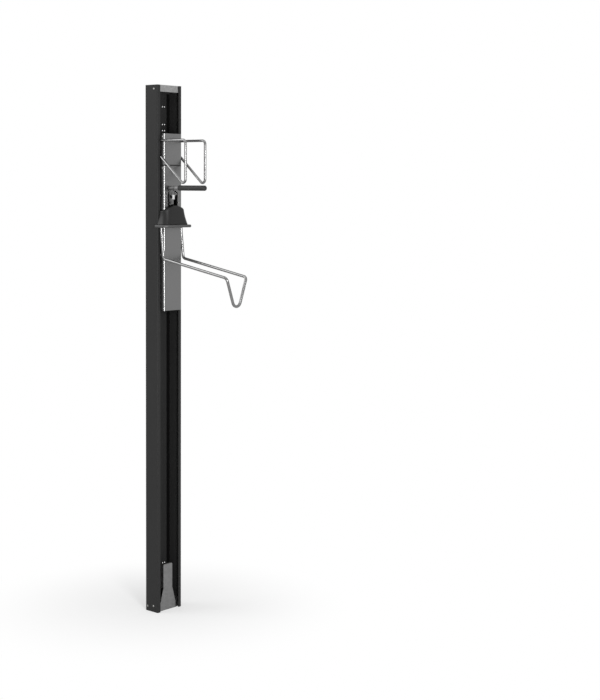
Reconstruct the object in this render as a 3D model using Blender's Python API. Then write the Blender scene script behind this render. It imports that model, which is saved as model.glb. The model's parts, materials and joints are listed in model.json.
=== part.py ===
"""Wall-mounted vertical bike lift: a C-section column with a gas-sprung carriage running in its slot.

The carriage rolls on four wheels inside the column. It carries a bent-rod cradle for the front
wheel, two side guides, a moulded tyre buffer, and a release lever with a rubber grip.

Run with: blender --background --python part.py
Lengths are in metres. +Z is up, +X is to the right, and -Y is out from the wall. The origin is
on the column's wall face, on its centre line, at half its height.
"""

import math

import bmesh
import bpy
from mathutils import Vector

# Fits
SEAT = 0.0003
SLOT_PLAY = 0.0019
SLIDE_PLAY = 0.0015

# Column, a rolled C-section
COLUMN_HEIGHT = 1.850
COLUMN_WIDTH = 0.116
COLUMN_DEPTH = 0.062
COLUMN_SHEET = 0.0025
COLUMN_BEND = 0.0040
SLOT_WIDTH = 0.088

# Fixing holes in the column's back, in mirrored pairs near either end
FIXING_HOLE_RADIUS = 0.0032
FIXING_HOLE_OUTER = 0.0335
FIXING_HOLE_PITCH = 0.0100
FIXING_ROW_DROPS = (0.071, 0.1325, 0.154)
HANGING_HOLE_RADIUS = 0.0050
HANGING_HOLE_DROP = 0.040

# Brackets that close the column's ends
BRACKET_SHEET = 0.0030
TOP_BRACKET_HEIGHT = 0.0235
TOP_TAB_LENGTH = 0.034
TOP_SCREW_DROP = 0.014
TOP_SCREW_SETBACK = 0.0165
FOOT_PLATE_SETBACK = 0.0085
FOOT_PLATE_HEIGHT = 0.165
FOOT_NECK_WIDTH = 0.043
FOOT_BASE_WIDTH = 0.077
FOOT_BASE_HEIGHT = 0.022
FOOT_FLARE_TOP = 0.078
FOOT_RETURN = 0.012
FOOT_TAB_HEIGHT = 0.034
FOOT_SCREW_HEIGHT = 0.022
FOOT_SCREW_SETBACK = 0.0205
FOOT_REAR_SCREW_HEIGHT = 0.017
FOOT_REAR_SCREW_SETBACK = 0.050

# Wear strips that the rollers run on
STRIP_WIDTH = 0.0140
STRIP_THICKNESS = 0.0020
STRIP_END_GAP = 0.003

# Carriage
TOP_ROOM = 0.167
CARRIAGE_LENGTH = 0.614
COVER_STAND_OFF = 0.0165
COVER_SHEET = 0.0020
COVER_BEND = 0.0050
COVER_FLANGE_DEPTH = 0.012
UPPER_COVER_LENGTH = 0.1080
COVER_JOINT = 0.0030
CHASSIS_SHEET = 0.0030
CHASSIS_BEND = 0.0045
CHASSIS_END_GAP = 0.005
CHASSIS_WALL_DEPTH = 0.010
EAR_LENGTH = 0.070
EAR_DEPTH = 0.052

# Window in the main cover and the chassis, which the lever comes out of, and the screws beside it
WINDOW_WIDTH = 0.044
WINDOW_TOP_DROP = 0.197
WINDOW_HEIGHT = 0.058
WINDOW_RADIUS = 0.012
WINDOW_MARGIN = 0.001
WINDOW_SCREW_X = 0.0265
WINDOW_SCREW_BELOW = 0.0415

# Screws through the cover's flanges: drop below the carriage's top, and distance ahead of the column
COVER_SCREWS = {"upper": (0.0105, 0.0088), "middle": (0.1195, 0.0088), "lower": (0.4190, -0.0024)}
SCREW_RADIUS = 0.0020
SCREW_HEAD_RADIUS = 0.0038
SCREW_HEAD_HEIGHT = 0.0022
RIVET_HEAD_HEIGHT = 0.0012

# Rollers, their bearings and axle bolts
ROLLER_WIDTH = 0.0100
ROLLER_PLAY = 0.0010
ROLLER_OFFSET = 0.0485
BEARING_RADIUS = 0.0110
BEARING_BORE_RADIUS = 0.0040
BEARING_WIDTH = 0.0070
AXLE_FROM_END = 0.040
AXLE_HEAD_RADIUS = 0.0065
AXLE_HEAD_HEIGHT = 0.0026
AXLE_SHOULDER_RADIUS = 0.0060
AXLE_NUT_WIDTH = 0.013
AXLE_NUT_HEIGHT = 0.0040

# Gas spring, rod down
SPRING_X = -0.0245
SPRING_SETBACK = 0.0450
CYLINDER_RADIUS = 0.0110
CYLINDER_BORE_RADIUS = 0.0090
CYLINDER_END_WALL = 0.0080
ROD_RADIUS = 0.0050
PISTON_LENGTH = 0.0120
SPRING_DEAD_LENGTH = 0.080
ROD_STUB = 0.030
STUD_RADIUS = 0.0040
SPRING_SHELF_DROP = 0.027
SPRING_SHELF_SHEET = 0.0040
SPRING_NUT_WIDTH = 0.013
SPRING_NUT_HEIGHT = 0.0065
FOOT_BOSS_WIDTH = 0.019
FOOT_BOSS_HEIGHT = 0.012

# Side guides, bent wire loops
GUIDE_WIRE_RADIUS = 0.0045
GUIDE_REACH = 0.127
GUIDE_TOP_DROP = 0.0245
GUIDE_ABOVE_HANDLE = 0.0040
GUIDE_FOOT_DROP = 0.0805
GUIDE_BEND = 0.012
GUIDE_START = 0.0070

# Wheel cradle, one bent rod
CRADLE_ROD_RADIUS = 0.0050
CRADLE_GAP = 0.0006
CRADLE_LEG_IN_BUFFER = 0.0115
CRADLE_LEG_STRAIGHT = 0.033
CRADLE_LEG_START = 0.0085
CRADLE_KNEE_DROP = 0.4325
CRADLE_KNEE_OUT = 0.0195
CRADLE_REACH = 0.3235
CRADLE_ARM_FALL = 0.0535
CRADLE_VEE_ANGLE = math.radians(19.6)
CRADLE_VEE_RADIUS = 0.0188
CRADLE_BEND = 0.014

# Tyre buffer, a moulded block, and the plate under it
BUFFER_BELOW_WINDOW_TOP = 0.068
BUFFER_HEIGHT = 0.0495
BUFFER_TOP_WIDTH = 0.100
BUFFER_BOTTOM_WIDTH = 0.119
BUFFER_TOP_REACH = 0.033
BUFFER_BOTTOM_REACH = 0.042
BUFFER_CORNER = 0.016
BUFFER_CROWN = 0.017
BUFFER_EDGE = 0.005
BUFFER_FRONT_PARTS = 5
BUFFER_SCREW_X = 0.030
BUFFER_SCREW_RISE = 0.025
BUFFER_SCREW_GRIP = 0.012
PLATE_WIDTH = 0.136
PLATE_REACH = 0.050
PLATE_WRAP = 0.009
PLATE_THICKNESS = 0.0095
PLATE_CORNER = 0.020
PLATE_EDGE = 0.0032

# Release lever: a pivoting plate with a padlock eye, a handle rod with a grip, and a brake shoe on its tail
PIVOT_BELOW_WINDOW_TOP = 0.0150
PIVOT_AHEAD = 0.0037
PIN_RADIUS = 0.0042
PIN_SIGHT_RADIUS = 0.0037
HUB_WALL = 0.0017
LEVER_X = -0.018
LEVER_SHEET = 0.0050
LEVER_GAP = 0.0015
LEVER_NOSE_REACH = 0.044
LEVER_NOSE_DEPTH = 0.034
LEVER_CHIN_REACH = 0.034
LEVER_CHIN_BELOW_PIVOT = 0.0285
LEVER_CORNER = 0.009
EYE_RADIUS = 0.0065
EYE_OUT = 0.0285
EYE_BELOW_PIVOT = 0.0055
HANDLE_ABOVE_PIVOT = 0.0245
HANDLE_ROD_RADIUS = 0.0072
HANDLE_ROOT_LENGTH = 0.028
HANDLE_JOG_LENGTH = 0.032
HANDLE_OFFSET = 0.045
HANDLE_REACH = 0.221
HANDLE_BEND = 0.016
GRIP_RADIUS = 0.0090
GRIP_LENGTH = 0.127
GRIP_END_WALL = 0.006
TAIL_X = 0.0085
TAIL_DEPTH = 0.012
SHOE_WIDTH = 0.016
SHOE_HEIGHT = 0.020
SHOE_THICKNESS = 0.007
SHOE_GAP = 0.0005
SHOE_PAD_THICKNESS = 0.0030
SHOE_RISE = 0.0104
LEVER_SWING = math.radians(12)

# Lever's return spring, wound round its hub
LEVER_SPRING_WIRE_RADIUS = 0.0007
LEVER_SPRING_TURNS = 5
LEVER_SPRING_PITCH = 0.0018
LEVER_SPRING_START_X = 0.0215
LEVER_SPRING_UPPER_LEG = 0.025
LEVER_SPRING_REAR_LEG = 0.018
COIL_STEPS = 8

# Facets
ROUND_SIDES = 20
SMALL_SIDES = 10
HOLE_SIDES = 12
ARC_STEPS = 4
WIRE_RESOLUTION = 3

# Worked out from the sizes above
INNER_HALF_WIDTH = COLUMN_WIDTH / 2 - COLUMN_SHEET
INNER_BACK = -COLUMN_SHEET
INNER_FRONT = -COLUMN_DEPTH + COLUMN_SHEET
CARRIAGE_TOP = COLUMN_HEIGHT - TOP_ROOM
COVER_WIDTH = SLOT_WIDTH - 2 * SLOT_PLAY
CHASSIS_HALF_WIDTH = COVER_WIDTH / 2 - COVER_SHEET - SEAT
CHASSIS_FRONT = COVER_STAND_OFF - COVER_SHEET - SEAT
TRACK_GAP = COLUMN_DEPTH - 2 * COLUMN_SHEET - STRIP_THICKNESS - SEAT
ROLLER_RADIUS = (TRACK_GAP - ROLLER_PLAY) / 2
ROD_FOOT = BRACKET_SHEET + SEAT + FOOT_BOSS_HEIGHT
CYLINDER_TOP = CARRIAGE_TOP - SPRING_SHELF_DROP - SPRING_SHELF_SHEET - SEAT
STROKE = (CYLINDER_TOP - ROD_FOOT - ROD_STUB - SPRING_DEAD_LENGTH) / 2
CYLINDER_LENGTH = STROKE + SPRING_DEAD_LENGTH
GUIDE_X = COVER_WIDTH / 2 + GUIDE_WIRE_RADIUS + SEAT
CRADLE_X = COVER_WIDTH / 2 + CRADLE_ROD_RADIUS + CRADLE_GAP
LEG_HALF = CRADLE_X + CRADLE_ROD_RADIUS + SEAT
LEG_REACH = CRADLE_LEG_START + CRADLE_ROD_RADIUS + SEAT
HUB_RADIUS = PIN_RADIUS + SEAT + HUB_WALL
WINDOW_SCREW_DROP = WINDOW_TOP_DROP + WINDOW_SCREW_BELOW
PIVOT_DROP = WINDOW_TOP_DROP + PIVOT_BELOW_WINDOW_TOP
HANDLE_DROP = PIVOT_DROP - HANDLE_ABOVE_PIVOT
GUIDE_CORNER_DROP = HANDLE_DROP - GUIDE_ABOVE_HANDLE
SHOE_BACK = COLUMN_DEPTH - COLUMN_SHEET + PIVOT_AHEAD - SHOE_GAP
PAD_BACK = SHOE_BACK - SHOE_THICKNESS - SEAT
PAD_FRONT = PAD_BACK - SHOE_PAD_THICKNESS
BUFFER_TOP_DROP = WINDOW_TOP_DROP + BUFFER_BELOW_WINDOW_TOP
PLATE_TOP_DROP = BUFFER_TOP_DROP + BUFFER_HEIGHT + SEAT
CRADLE_LEG_TOP_DROP = BUFFER_TOP_DROP + BUFFER_HEIGHT - CRADLE_LEG_IN_BUFFER

SIDES = (("left", -1), ("right", 1))


def clear_scene():
    for obj in list(bpy.data.objects):
        bpy.data.objects.remove(obj, do_unlink=True)


def material(name, colour, roughness, metallic=0.0):
    made = bpy.data.materials.new(name)
    made.use_nodes = True
    shader = made.node_tree.nodes["Principled BSDF"]
    shader.inputs["Base Color"].default_value = (*colour, 1.0)
    shader.inputs["Roughness"].default_value = roughness
    shader.inputs["Metallic"].default_value = metallic
    return made


def frame_empty(name, location, parent=None):
    empty = bpy.data.objects.new(name, None)
    bpy.context.scene.collection.objects.link(empty)
    empty.parent = parent
    empty.location = location
    return empty


def add(name, mesh, surface, parent, location=(0, 0, 0)):
    obj = bpy.data.objects.new(name, mesh)
    bpy.context.scene.collection.objects.link(obj)
    obj.parent = parent
    obj.location = location
    mesh.materials.append(surface)
    return obj


def mesh_from(bm, name):
    bmesh.ops.recalc_face_normals(bm, faces=bm.faces)
    if bm.calc_volume(signed=True) < 0:
        bmesh.ops.reverse_faces(bm, faces=bm.faces)
    mesh = bpy.data.meshes.new(name)
    bm.to_mesh(mesh)
    bm.free()
    mesh.shade_smooth()
    mesh.set_sharp_from_angle(angle=math.radians(35))
    return mesh


def turn_to(axis, u, v, w):
    """Carries (u, v) across and w along to the axis: X takes (y, z), Y takes (x, z), Z takes (x, y)."""
    return {"X": (w, u, v), "Y": (u, w, v), "Z": (u, v, w)}[axis]


def prism(name, outline, low, high, axis="Z"):
    """A flat outline drawn across an axis and extruded along it from low to high."""
    bm = bmesh.new()
    loop = [bm.verts.new(turn_to(axis, u, v, low)) for u, v in outline]
    face = bm.faces.new(loop)
    grown = bmesh.ops.extrude_face_region(bm, geom=[face])
    moved = [item for item in grown["geom"] if isinstance(item, bmesh.types.BMVert)]
    bmesh.ops.translate(bm, verts=moved, vec=Vector(turn_to(axis, 0, 0, high - low)))
    return mesh_from(bm, name)


def box(name, low, high):
    outline = [(low[0], low[1]), (high[0], low[1]), (high[0], high[1]), (low[0], high[1])]
    return prism(name, outline, low[2], high[2])


def loft(name, sections):
    """Skins equal closed loops in order. Each loop goes out along one side and back along the other, and
    strips between the two sides cap the ends."""
    bm = bmesh.new()
    loops = [[bm.verts.new(point) for point in section] for section in sections]
    for lower, upper in zip(loops, loops[1:]):
        for i in range(len(lower)):
            j = (i + 1) % len(lower)
            bm.faces.new((lower[i], lower[j], upper[j], upper[i]))
    for loop in (loops[0], loops[-1]):
        for i in range(len(loop) // 2 - 1):
            bm.faces.new((loop[i], loop[i + 1], loop[-2 - i], loop[-1 - i]))
    bmesh.ops.triangulate(bm, faces=bm.faces)
    return mesh_from(bm, name)


def turned(name, profile, axis="Z", sides=ROUND_SIDES, ring=False):
    """Turns (radius, along) points round an axis. A ring's profile closes on itself, off the axis."""
    bm = bmesh.new()
    rings = []
    for radius, along in profile:
        if radius == 0:
            rings.append([bm.verts.new(turn_to(axis, 0, 0, along))])
            continue
        angles = [2 * math.pi * i / sides for i in range(sides)]
        rings.append(
            [bm.verts.new(turn_to(axis, radius * math.cos(a), radius * math.sin(a), along)) for a in angles]
        )
    pairs = list(zip(rings, rings[1:]))
    if ring:
        pairs.append((rings[-1], rings[0]))
    for first, second in pairs:
        for i in range(sides):
            j = (i + 1) % sides
            near, far = len(first), len(second)
            corners = [first[i % near], first[j % near], second[j % far], second[i % far]]
            bm.faces.new(list(dict.fromkeys(corners)))
    return mesh_from(bm, name)


def filleted(points, radius, steps=ARC_STEPS):
    """A polyline, in two or three dimensions, with each inner corner rounded to the radius."""
    flat = len(points[0]) == 2
    nodes = [Vector((*p, 0)) if flat else Vector(p) for p in points]
    path = [nodes[0]]
    for before, corner, after in zip(nodes, nodes[1:], nodes[2:]):
        back = (before - corner).normalized()
        ahead = (after - corner).normalized()
        half = back.angle(ahead) / 2
        if math.pi / 2 - half < 1e-4:
            continue
        setback = radius / math.tan(half)
        centre = corner + (back + ahead).normalized() * (radius / math.sin(half))
        start = corner + back * setback - centre
        end = corner + ahead * setback - centre
        for i in range(steps + 1):
            path.append(centre + start.slerp(end, i / steps) * radius)
    path.append(nodes[-1])
    return [tuple(p)[:2] if flat else tuple(p) for p in path]


def bent_sheet(corners, bend, sheet):
    """The outline of a sheet that follows the outer corners, folded to their right, with rounded bends."""
    nodes = [Vector(corner) for corner in corners]
    headings = [(b - a).normalized() for a, b in zip(nodes, nodes[1:])]
    inner = []
    for i, node in enumerate(nodes):
        before = headings[max(i - 1, 0)]
        after = headings[min(i, len(headings) - 1)]
        side = (Vector((before.y, -before.x)) + Vector((after.y, -after.x))).normalized()
        inner.append(node + side * (sheet / max(side.dot(Vector((after.y, -after.x))), 0.1)))
    outside = filleted([tuple(n) for n in nodes], bend)
    inside = filleted([tuple(n) for n in inner], max(bend - sheet, sheet * 0.3))
    return outside + inside[::-1]


def arc_points(centre, radius, start, end, steps=ARC_STEPS):
    """Points on an arc, with its angles in degrees."""
    angles = [math.radians(start + (end - start) * i / steps) for i in range(steps + 1)]
    return [(centre[0] + radius * math.cos(a), centre[1] + radius * math.sin(a)) for a in angles]


def hex_nut(name, width, height, bore, axis="Z"):
    """A hexagon with a round bore, each flat split in two so that its rim meets the bore's."""
    corner = width / math.sqrt(3)
    corners = [(corner * math.cos(math.pi * i / 3), corner * math.sin(math.pi * i / 3)) for i in range(6)]
    outer = []
    for a, b in zip(corners, corners[1:] + corners[:1]):
        outer += [a, ((a[0] + b[0]) / 2, (a[1] + b[1]) / 2)]
    inner = [(bore * math.cos(math.pi * i / 6), bore * math.sin(math.pi * i / 6)) for i in range(12)]
    bm = bmesh.new()
    rims = [
        [bm.verts.new(turn_to(axis, u, v, w)) for u, v in points]
        for points, w in ((outer, 0), (outer, height), (inner, height), (inner, 0))
    ]
    for first, second in zip(rims, rims[1:] + rims[:1]):
        for i in range(12):
            j = (i + 1) % 12
            bm.faces.new((first[i], first[j], second[j], second[i]))
    return mesh_from(bm, name)


def wire(name, path, radius, surface, parent):
    """A round rod along a path, as a bevelled curve with filled ends."""
    curve = bpy.data.curves.new(name, "CURVE")
    curve.dimensions = "3D"
    curve.bevel_depth = radius
    curve.bevel_resolution = WIRE_RESOLUTION
    curve.use_fill_caps = True
    spline = curve.splines.new("POLY")
    spline.points.add(len(path) - 1)
    for point, place in zip(spline.points, path):
        point.co = (*place, 1.0)
    obj = bpy.data.objects.new(name, curve)
    bpy.context.scene.collection.objects.link(obj)
    obj.parent = parent
    curve.materials.append(surface)
    return obj


def boolean(target, helper, operation="DIFFERENCE"):
    helper.hide_render = True
    helper.display_type = "WIRE"
    modifier = target.modifiers.new(helper.name, "BOOLEAN")
    modifier.operation = operation
    modifier.object = helper
    return helper


def shape(target, mesh, operation="DIFFERENCE", location=(0, 0, 0)):
    """Cuts a mesh from the target, or joins it on, in the target's own frame."""
    helper = bpy.data.objects.new(mesh.name, mesh)
    bpy.context.scene.collection.objects.link(helper)
    helper.parent = target.parent
    helper.location = location
    return boolean(target, helper, operation)


def drill(target, place, axis, radius, length, sides=HOLE_SIDES):
    """A round hole of the given length, centred on a place in the target's frame."""
    profile = [(0, -length / 2), (radius, -length / 2), (radius, length / 2), (0, length / 2)]
    return shape(target, turned(f"{target.name}_hole", profile, axis, sides), location=place)


def screw(name, surface, parent, place, side, shank, head=SCREW_HEAD_HEIGHT, axis="X"):
    """A round-headed screw whose head stands on the face at place, on the axis's side given by its sign."""
    rim = SCREW_HEAD_RADIUS
    dome = [(rim, side * head * 0.35), (rim * 0.8, side * head * 0.8), (0, side * head)]
    profile = [(0, -side * shank), (SCREW_RADIUS, -side * shank), (SCREW_RADIUS, 0), (rim, 0)] + dome
    return add(name, turned(name, profile, axis, SMALL_SIDES), surface, parent, place)


def make_column(steel, root):
    corners = [
        (-SLOT_WIDTH / 2, -COLUMN_DEPTH),
        (-COLUMN_WIDTH / 2, -COLUMN_DEPTH),
        (-COLUMN_WIDTH / 2, 0),
        (COLUMN_WIDTH / 2, 0),
        (COLUMN_WIDTH / 2, -COLUMN_DEPTH),
        (SLOT_WIDTH / 2, -COLUMN_DEPTH),
    ]
    outline = bent_sheet(corners, COLUMN_BEND, COLUMN_SHEET)
    column = add("column_profile", prism("column_profile", outline, 0, COLUMN_HEIGHT), steel, root)
    through = COLUMN_SHEET * 4
    rows = [height for drop in FIXING_ROW_DROPS for height in (drop, COLUMN_HEIGHT - drop)]
    for _, sign in SIDES:
        for height in rows:
            for step in (0, 1):
                x = sign * (FIXING_HOLE_OUTER - step * FIXING_HOLE_PITCH)
                drill(column, (x, 0, height), "Y", FIXING_HOLE_RADIUS, through, SMALL_SIDES)
        x = sign * (FIXING_HOLE_OUTER - FIXING_HOLE_PITCH / 2)
        drill(column, (x, 0, COLUMN_HEIGHT - HANGING_HOLE_DROP), "Y", HANGING_HOLE_RADIUS, through)
        for setback, height in bracket_screws().values():
            place = (sign * COLUMN_WIDTH / 2, -COLUMN_DEPTH + setback, height)
            drill(column, place, "X", SCREW_RADIUS + SEAT, through, SMALL_SIDES)
    return column


def bracket_screws():
    """Setback behind the column's front, and height, of each screw in the column's side."""
    return {
        "top_screw": (TOP_SCREW_SETBACK, COLUMN_HEIGHT - TOP_SCREW_DROP),
        "foot_screw": (FOOT_SCREW_SETBACK, FOOT_SCREW_HEIGHT),
        "foot_rear_screw": (FOOT_REAR_SCREW_SETBACK, FOOT_REAR_SCREW_HEIGHT),
    }


def make_bracket_screws(zinc, root):
    for name, (setback, height) in bracket_screws().items():
        for side, sign in SIDES:
            place = (sign * (COLUMN_WIDTH / 2 + SEAT), -COLUMN_DEPTH + setback, height)
            screw(f"{name}_{side}", zinc, root, place, sign, COLUMN_SHEET + BRACKET_SHEET)


def drill_bracket(bracket, name):
    setback, height = bracket_screws()[name]
    for _, sign in SIDES:
        place = (sign * INNER_HALF_WIDTH, -COLUMN_DEPTH + setback, height)
        drill(bracket, place, "X", SCREW_RADIUS + SEAT, BRACKET_SHEET * 4, SMALL_SIDES)


def make_top_bracket(silver, root):
    half = INNER_HALF_WIDTH - SEAT
    front = INNER_FRONT + SEAT
    corners = [(half, front + TOP_TAB_LENGTH), (half, front), (-half, front), (-half, front + TOP_TAB_LENGTH)]
    outline = bent_sheet(corners, BRACKET_SHEET * 1.5, BRACKET_SHEET)
    low = COLUMN_HEIGHT - TOP_BRACKET_HEIGHT
    bracket = add("top_bracket", prism("top_bracket", outline, low, COLUMN_HEIGHT), silver, root)
    inset = BRACKET_SHEET / 2
    lid = box(
        "top_bracket_lid",
        (-half + inset, front + inset, COLUMN_HEIGHT - BRACKET_SHEET),
        (half - inset, INNER_BACK - SEAT, COLUMN_HEIGHT),
    )
    shape(bracket, lid, "UNION")
    drill_bracket(bracket, "top_screw")
    return bracket


def foot_plate_outline():
    """The front plate from the front: a wide base that flares in to a neck with clipped corners."""
    base, neck = FOOT_BASE_WIDTH / 2, FOOT_NECK_WIDTH / 2
    waist = (neck + (base - neck) * 0.72, FOOT_BASE_HEIGHT + (FOOT_FLARE_TOP - FOOT_BASE_HEIGHT) * 0.22)
    clip = BRACKET_SHEET
    right = [(base, 0), (base, FOOT_BASE_HEIGHT), waist, (neck, FOOT_FLARE_TOP)]
    right += [(neck, FOOT_PLATE_HEIGHT - clip), (neck - clip, FOOT_PLATE_HEIGHT)]
    right = filleted(right, BRACKET_SHEET * 1.5, 3)
    return right + [(-x, z) for x, z in reversed(right)]


def make_foot_bracket(galvanised, root):
    half = INNER_HALF_WIDTH - SEAT
    front = -COLUMN_DEPTH + FOOT_PLATE_SETBACK
    back = INNER_BACK - SEAT
    plate = prism("foot_bracket", foot_plate_outline(), front, front + BRACKET_SHEET, "Y")
    bracket = add("foot_bracket", plate, galvanised, root)
    inside = front + BRACKET_SHEET / 2
    inset = BRACKET_SHEET / 2
    floor = box("foot_bracket_floor", (-half + inset, inside, 0), (half - inset, back, BRACKET_SHEET))
    shape(bracket, floor, "UNION")
    for side, sign in SIDES:
        across = sorted((sign * half, sign * (half - BRACKET_SHEET)))
        tab = box(
            f"foot_bracket_tab_{side}",
            (across[0], inside + BRACKET_SHEET, inset),
            (across[1], back - inset, FOOT_TAB_HEIGHT),
        )
        shape(bracket, tab, "UNION")
    neck = FOOT_NECK_WIDTH / 2 - BRACKET_SHEET * 1.5
    lip = box(
        "foot_bracket_return",
        (-neck, inside, FOOT_PLATE_HEIGHT - BRACKET_SHEET),
        (neck, front + FOOT_RETURN, FOOT_PLATE_HEIGHT),
    )
    shape(bracket, lip, "UNION")
    for name in ("foot_screw", "foot_rear_screw"):
        drill_bracket(bracket, name)
    return bracket


def make_strips(plastic, root):
    low = FOOT_TAB_HEIGHT + STRIP_END_GAP
    high = COLUMN_HEIGHT - TOP_BRACKET_HEIGHT - STRIP_END_GAP
    back = INNER_BACK - SEAT
    for side, sign in SIDES:
        middle = sign * ROLLER_OFFSET
        outer = min(ROLLER_OFFSET + STRIP_WIDTH / 2, INNER_HALF_WIDTH - COLUMN_SHEET / 2) - ROLLER_OFFSET
        across = sorted((middle - sign * STRIP_WIDTH / 2, middle + sign * outer))
        mesh = box(f"track_strip_{side}", (across[0], back - STRIP_THICKNESS, low), (across[1], back, high))
        add(f"track_strip_{side}", mesh, plastic, root)


def make_gas_spring_rod(chrome, zinc, root):
    """The rod stands in a boss on the foot bracket, and its piston lies just inside the cylinder."""
    place = (SPRING_X, -COLUMN_DEPTH + SPRING_SETBACK, 0)
    cylinder_foot = CYLINDER_TOP - CYLINDER_LENGTH
    piston_foot = cylinder_foot + CYLINDER_END_WALL + SEAT
    piston = CYLINDER_BORE_RADIUS - SEAT
    shoulder = ROD_FOOT + SEAT
    profile = [
        (0, BRACKET_SHEET + 2 * SEAT),
        (STUD_RADIUS, BRACKET_SHEET + 2 * SEAT),
        (STUD_RADIUS, shoulder),
        (ROD_RADIUS, shoulder),
        (ROD_RADIUS, piston_foot),
        (piston, piston_foot),
        (piston, piston_foot + PISTON_LENGTH),
        (0, piston_foot + PISTON_LENGTH),
    ]
    add("gas_spring_rod", turned("gas_spring_rod", profile, "Z", HOLE_SIDES), chrome, root, place)
    boss = hex_nut("rod_boss", FOOT_BOSS_WIDTH, FOOT_BOSS_HEIGHT, STUD_RADIUS + SEAT)
    add("rod_boss", boss, zinc, root, (place[0], place[1], BRACKET_SHEET + SEAT))


def make_gas_spring_cylinder(black, zinc, carriage):
    """A tube with a rod gland at its foot and a stud at its top, hung under the chassis shelf."""
    place = (SPRING_X, SPRING_SETBACK, CYLINDER_TOP - CARRIAGE_TOP)
    foot = -CYLINDER_LENGTH
    shelf_top = SEAT + SPRING_SHELF_SHEET
    stud_top = shelf_top + SEAT + SPRING_NUT_HEIGHT * 1.2
    neck = CYLINDER_END_WALL
    groove = CYLINDER_RADIUS * 0.93
    profile = [
        (0, -CYLINDER_END_WALL),
        (CYLINDER_BORE_RADIUS, -CYLINDER_END_WALL),
        (CYLINDER_BORE_RADIUS, foot + CYLINDER_END_WALL),
        (ROD_RADIUS + SEAT, foot + CYLINDER_END_WALL),
        (ROD_RADIUS + SEAT, foot),
        (CYLINDER_RADIUS * 0.85, foot),
        (CYLINDER_RADIUS, foot + CYLINDER_RADIUS * 0.15),
        (CYLINDER_RADIUS, foot + 2 * neck),
        (groove, foot + 2 * neck + CYLINDER_RADIUS * 0.1),
        (groove, foot + 2 * neck + CYLINDER_RADIUS * 0.3),
        (CYLINDER_RADIUS, foot + 2 * neck + CYLINDER_RADIUS * 0.4),
        (CYLINDER_RADIUS, -CYLINDER_RADIUS * 0.15),
        (CYLINDER_RADIUS * 0.85, 0),
        (STUD_RADIUS, 0),
        (STUD_RADIUS, stud_top),
        (0, stud_top),
    ]
    mesh = turned("gas_spring_cylinder", profile, "Z", ROUND_SIDES)
    add("gas_spring_cylinder", mesh, black, carriage, place)
    nut = hex_nut("spring_nut", SPRING_NUT_WIDTH, SPRING_NUT_HEIGHT, STUD_RADIUS + SEAT)
    add("spring_nut", nut, zinc, carriage, (place[0], place[1], place[2] + shelf_top + SEAT))


def cover_outline():
    half, back, front = COVER_WIDTH / 2, COVER_FLANGE_DEPTH, -COVER_STAND_OFF
    return bent_sheet([(half, back), (half, front), (-half, front), (-half, back)], COVER_BEND, COVER_SHEET)


def cut_window(part, margin=0.0):
    """Cuts the arched window through a sheet at the carriage's front, larger all round by the margin."""
    half, top = WINDOW_WIDTH / 2 + margin, margin - WINDOW_TOP_DROP
    low = -WINDOW_TOP_DROP - WINDOW_HEIGHT - margin
    radius = WINDOW_RADIUS + margin
    left = arc_points((-half + radius, top - radius), radius, 180, 90)
    outline = [(-half, low)] + left + [(-x, z) for x, z in reversed(left)] + [(half, low)]
    past = COVER_SHEET + CHASSIS_SHEET
    mesh = prism(f"{part.name}_window", outline, -COVER_STAND_OFF - past, -COVER_STAND_OFF + 2 * past, "Y")
    shape(part, mesh)


def drill_cover_screws(part, names):
    for name in names:
        drop, ahead = COVER_SCREWS[name]
        for _, sign in SIDES:
            place = (sign * COVER_WIDTH / 2, -ahead, -drop)
            drill(part, place, "X", SCREW_RADIUS + SEAT, (COVER_SHEET + CHASSIS_SHEET) * 2.5, SMALL_SIDES)


def drill_front_screws(part):
    """The holes of the screws beside the window and of those that hold the buffer from behind."""
    buffer_screw_drop = BUFFER_TOP_DROP + BUFFER_HEIGHT - BUFFER_SCREW_RISE
    for x, drop in ((WINDOW_SCREW_X, WINDOW_SCREW_DROP), (BUFFER_SCREW_X, buffer_screw_drop)):
        for _, sign in SIDES:
            place = (sign * x, -COVER_STAND_OFF, -drop)
            drill(part, place, "Y", SCREW_RADIUS + SEAT, (COVER_SHEET + CHASSIS_SHEET) * 2.5, SMALL_SIDES)


def make_covers(silver, zinc, carriage):
    joint = -UPPER_COVER_LENGTH
    upper = add("upper_cover", prism("upper_cover", cover_outline(), joint, 0), silver, carriage)
    mesh = prism("main_cover", cover_outline(), -CARRIAGE_LENGTH, joint - COVER_JOINT)
    main = add("main_cover", mesh, silver, carriage)
    cut_window(main)
    drill_cover_screws(upper, ["upper"])
    drill_cover_screws(main, ["middle", "lower"])
    drill_front_screws(main)
    shank = COVER_SHEET + CHASSIS_SHEET
    for side, sign in SIDES:
        pivot = (sign * COVER_WIDTH / 2, -PIVOT_AHEAD, -PIVOT_DROP)
        drill(main, pivot, "X", PIN_SIGHT_RADIUS, COVER_SHEET * 4)
        for name, (drop, ahead) in COVER_SCREWS.items():
            place = (sign * (COVER_WIDTH / 2 + SEAT), -ahead, -drop)
            screw(f"{name}_cover_rivet_{side}", zinc, carriage, place, sign, shank, RIVET_HEAD_HEIGHT)
        place = (sign * WINDOW_SCREW_X, -COVER_STAND_OFF - SEAT, -WINDOW_SCREW_DROP)
        screw(f"window_screw_{side}", zinc, carriage, place, -1, shank, axis="Y")
    return upper, main


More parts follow.
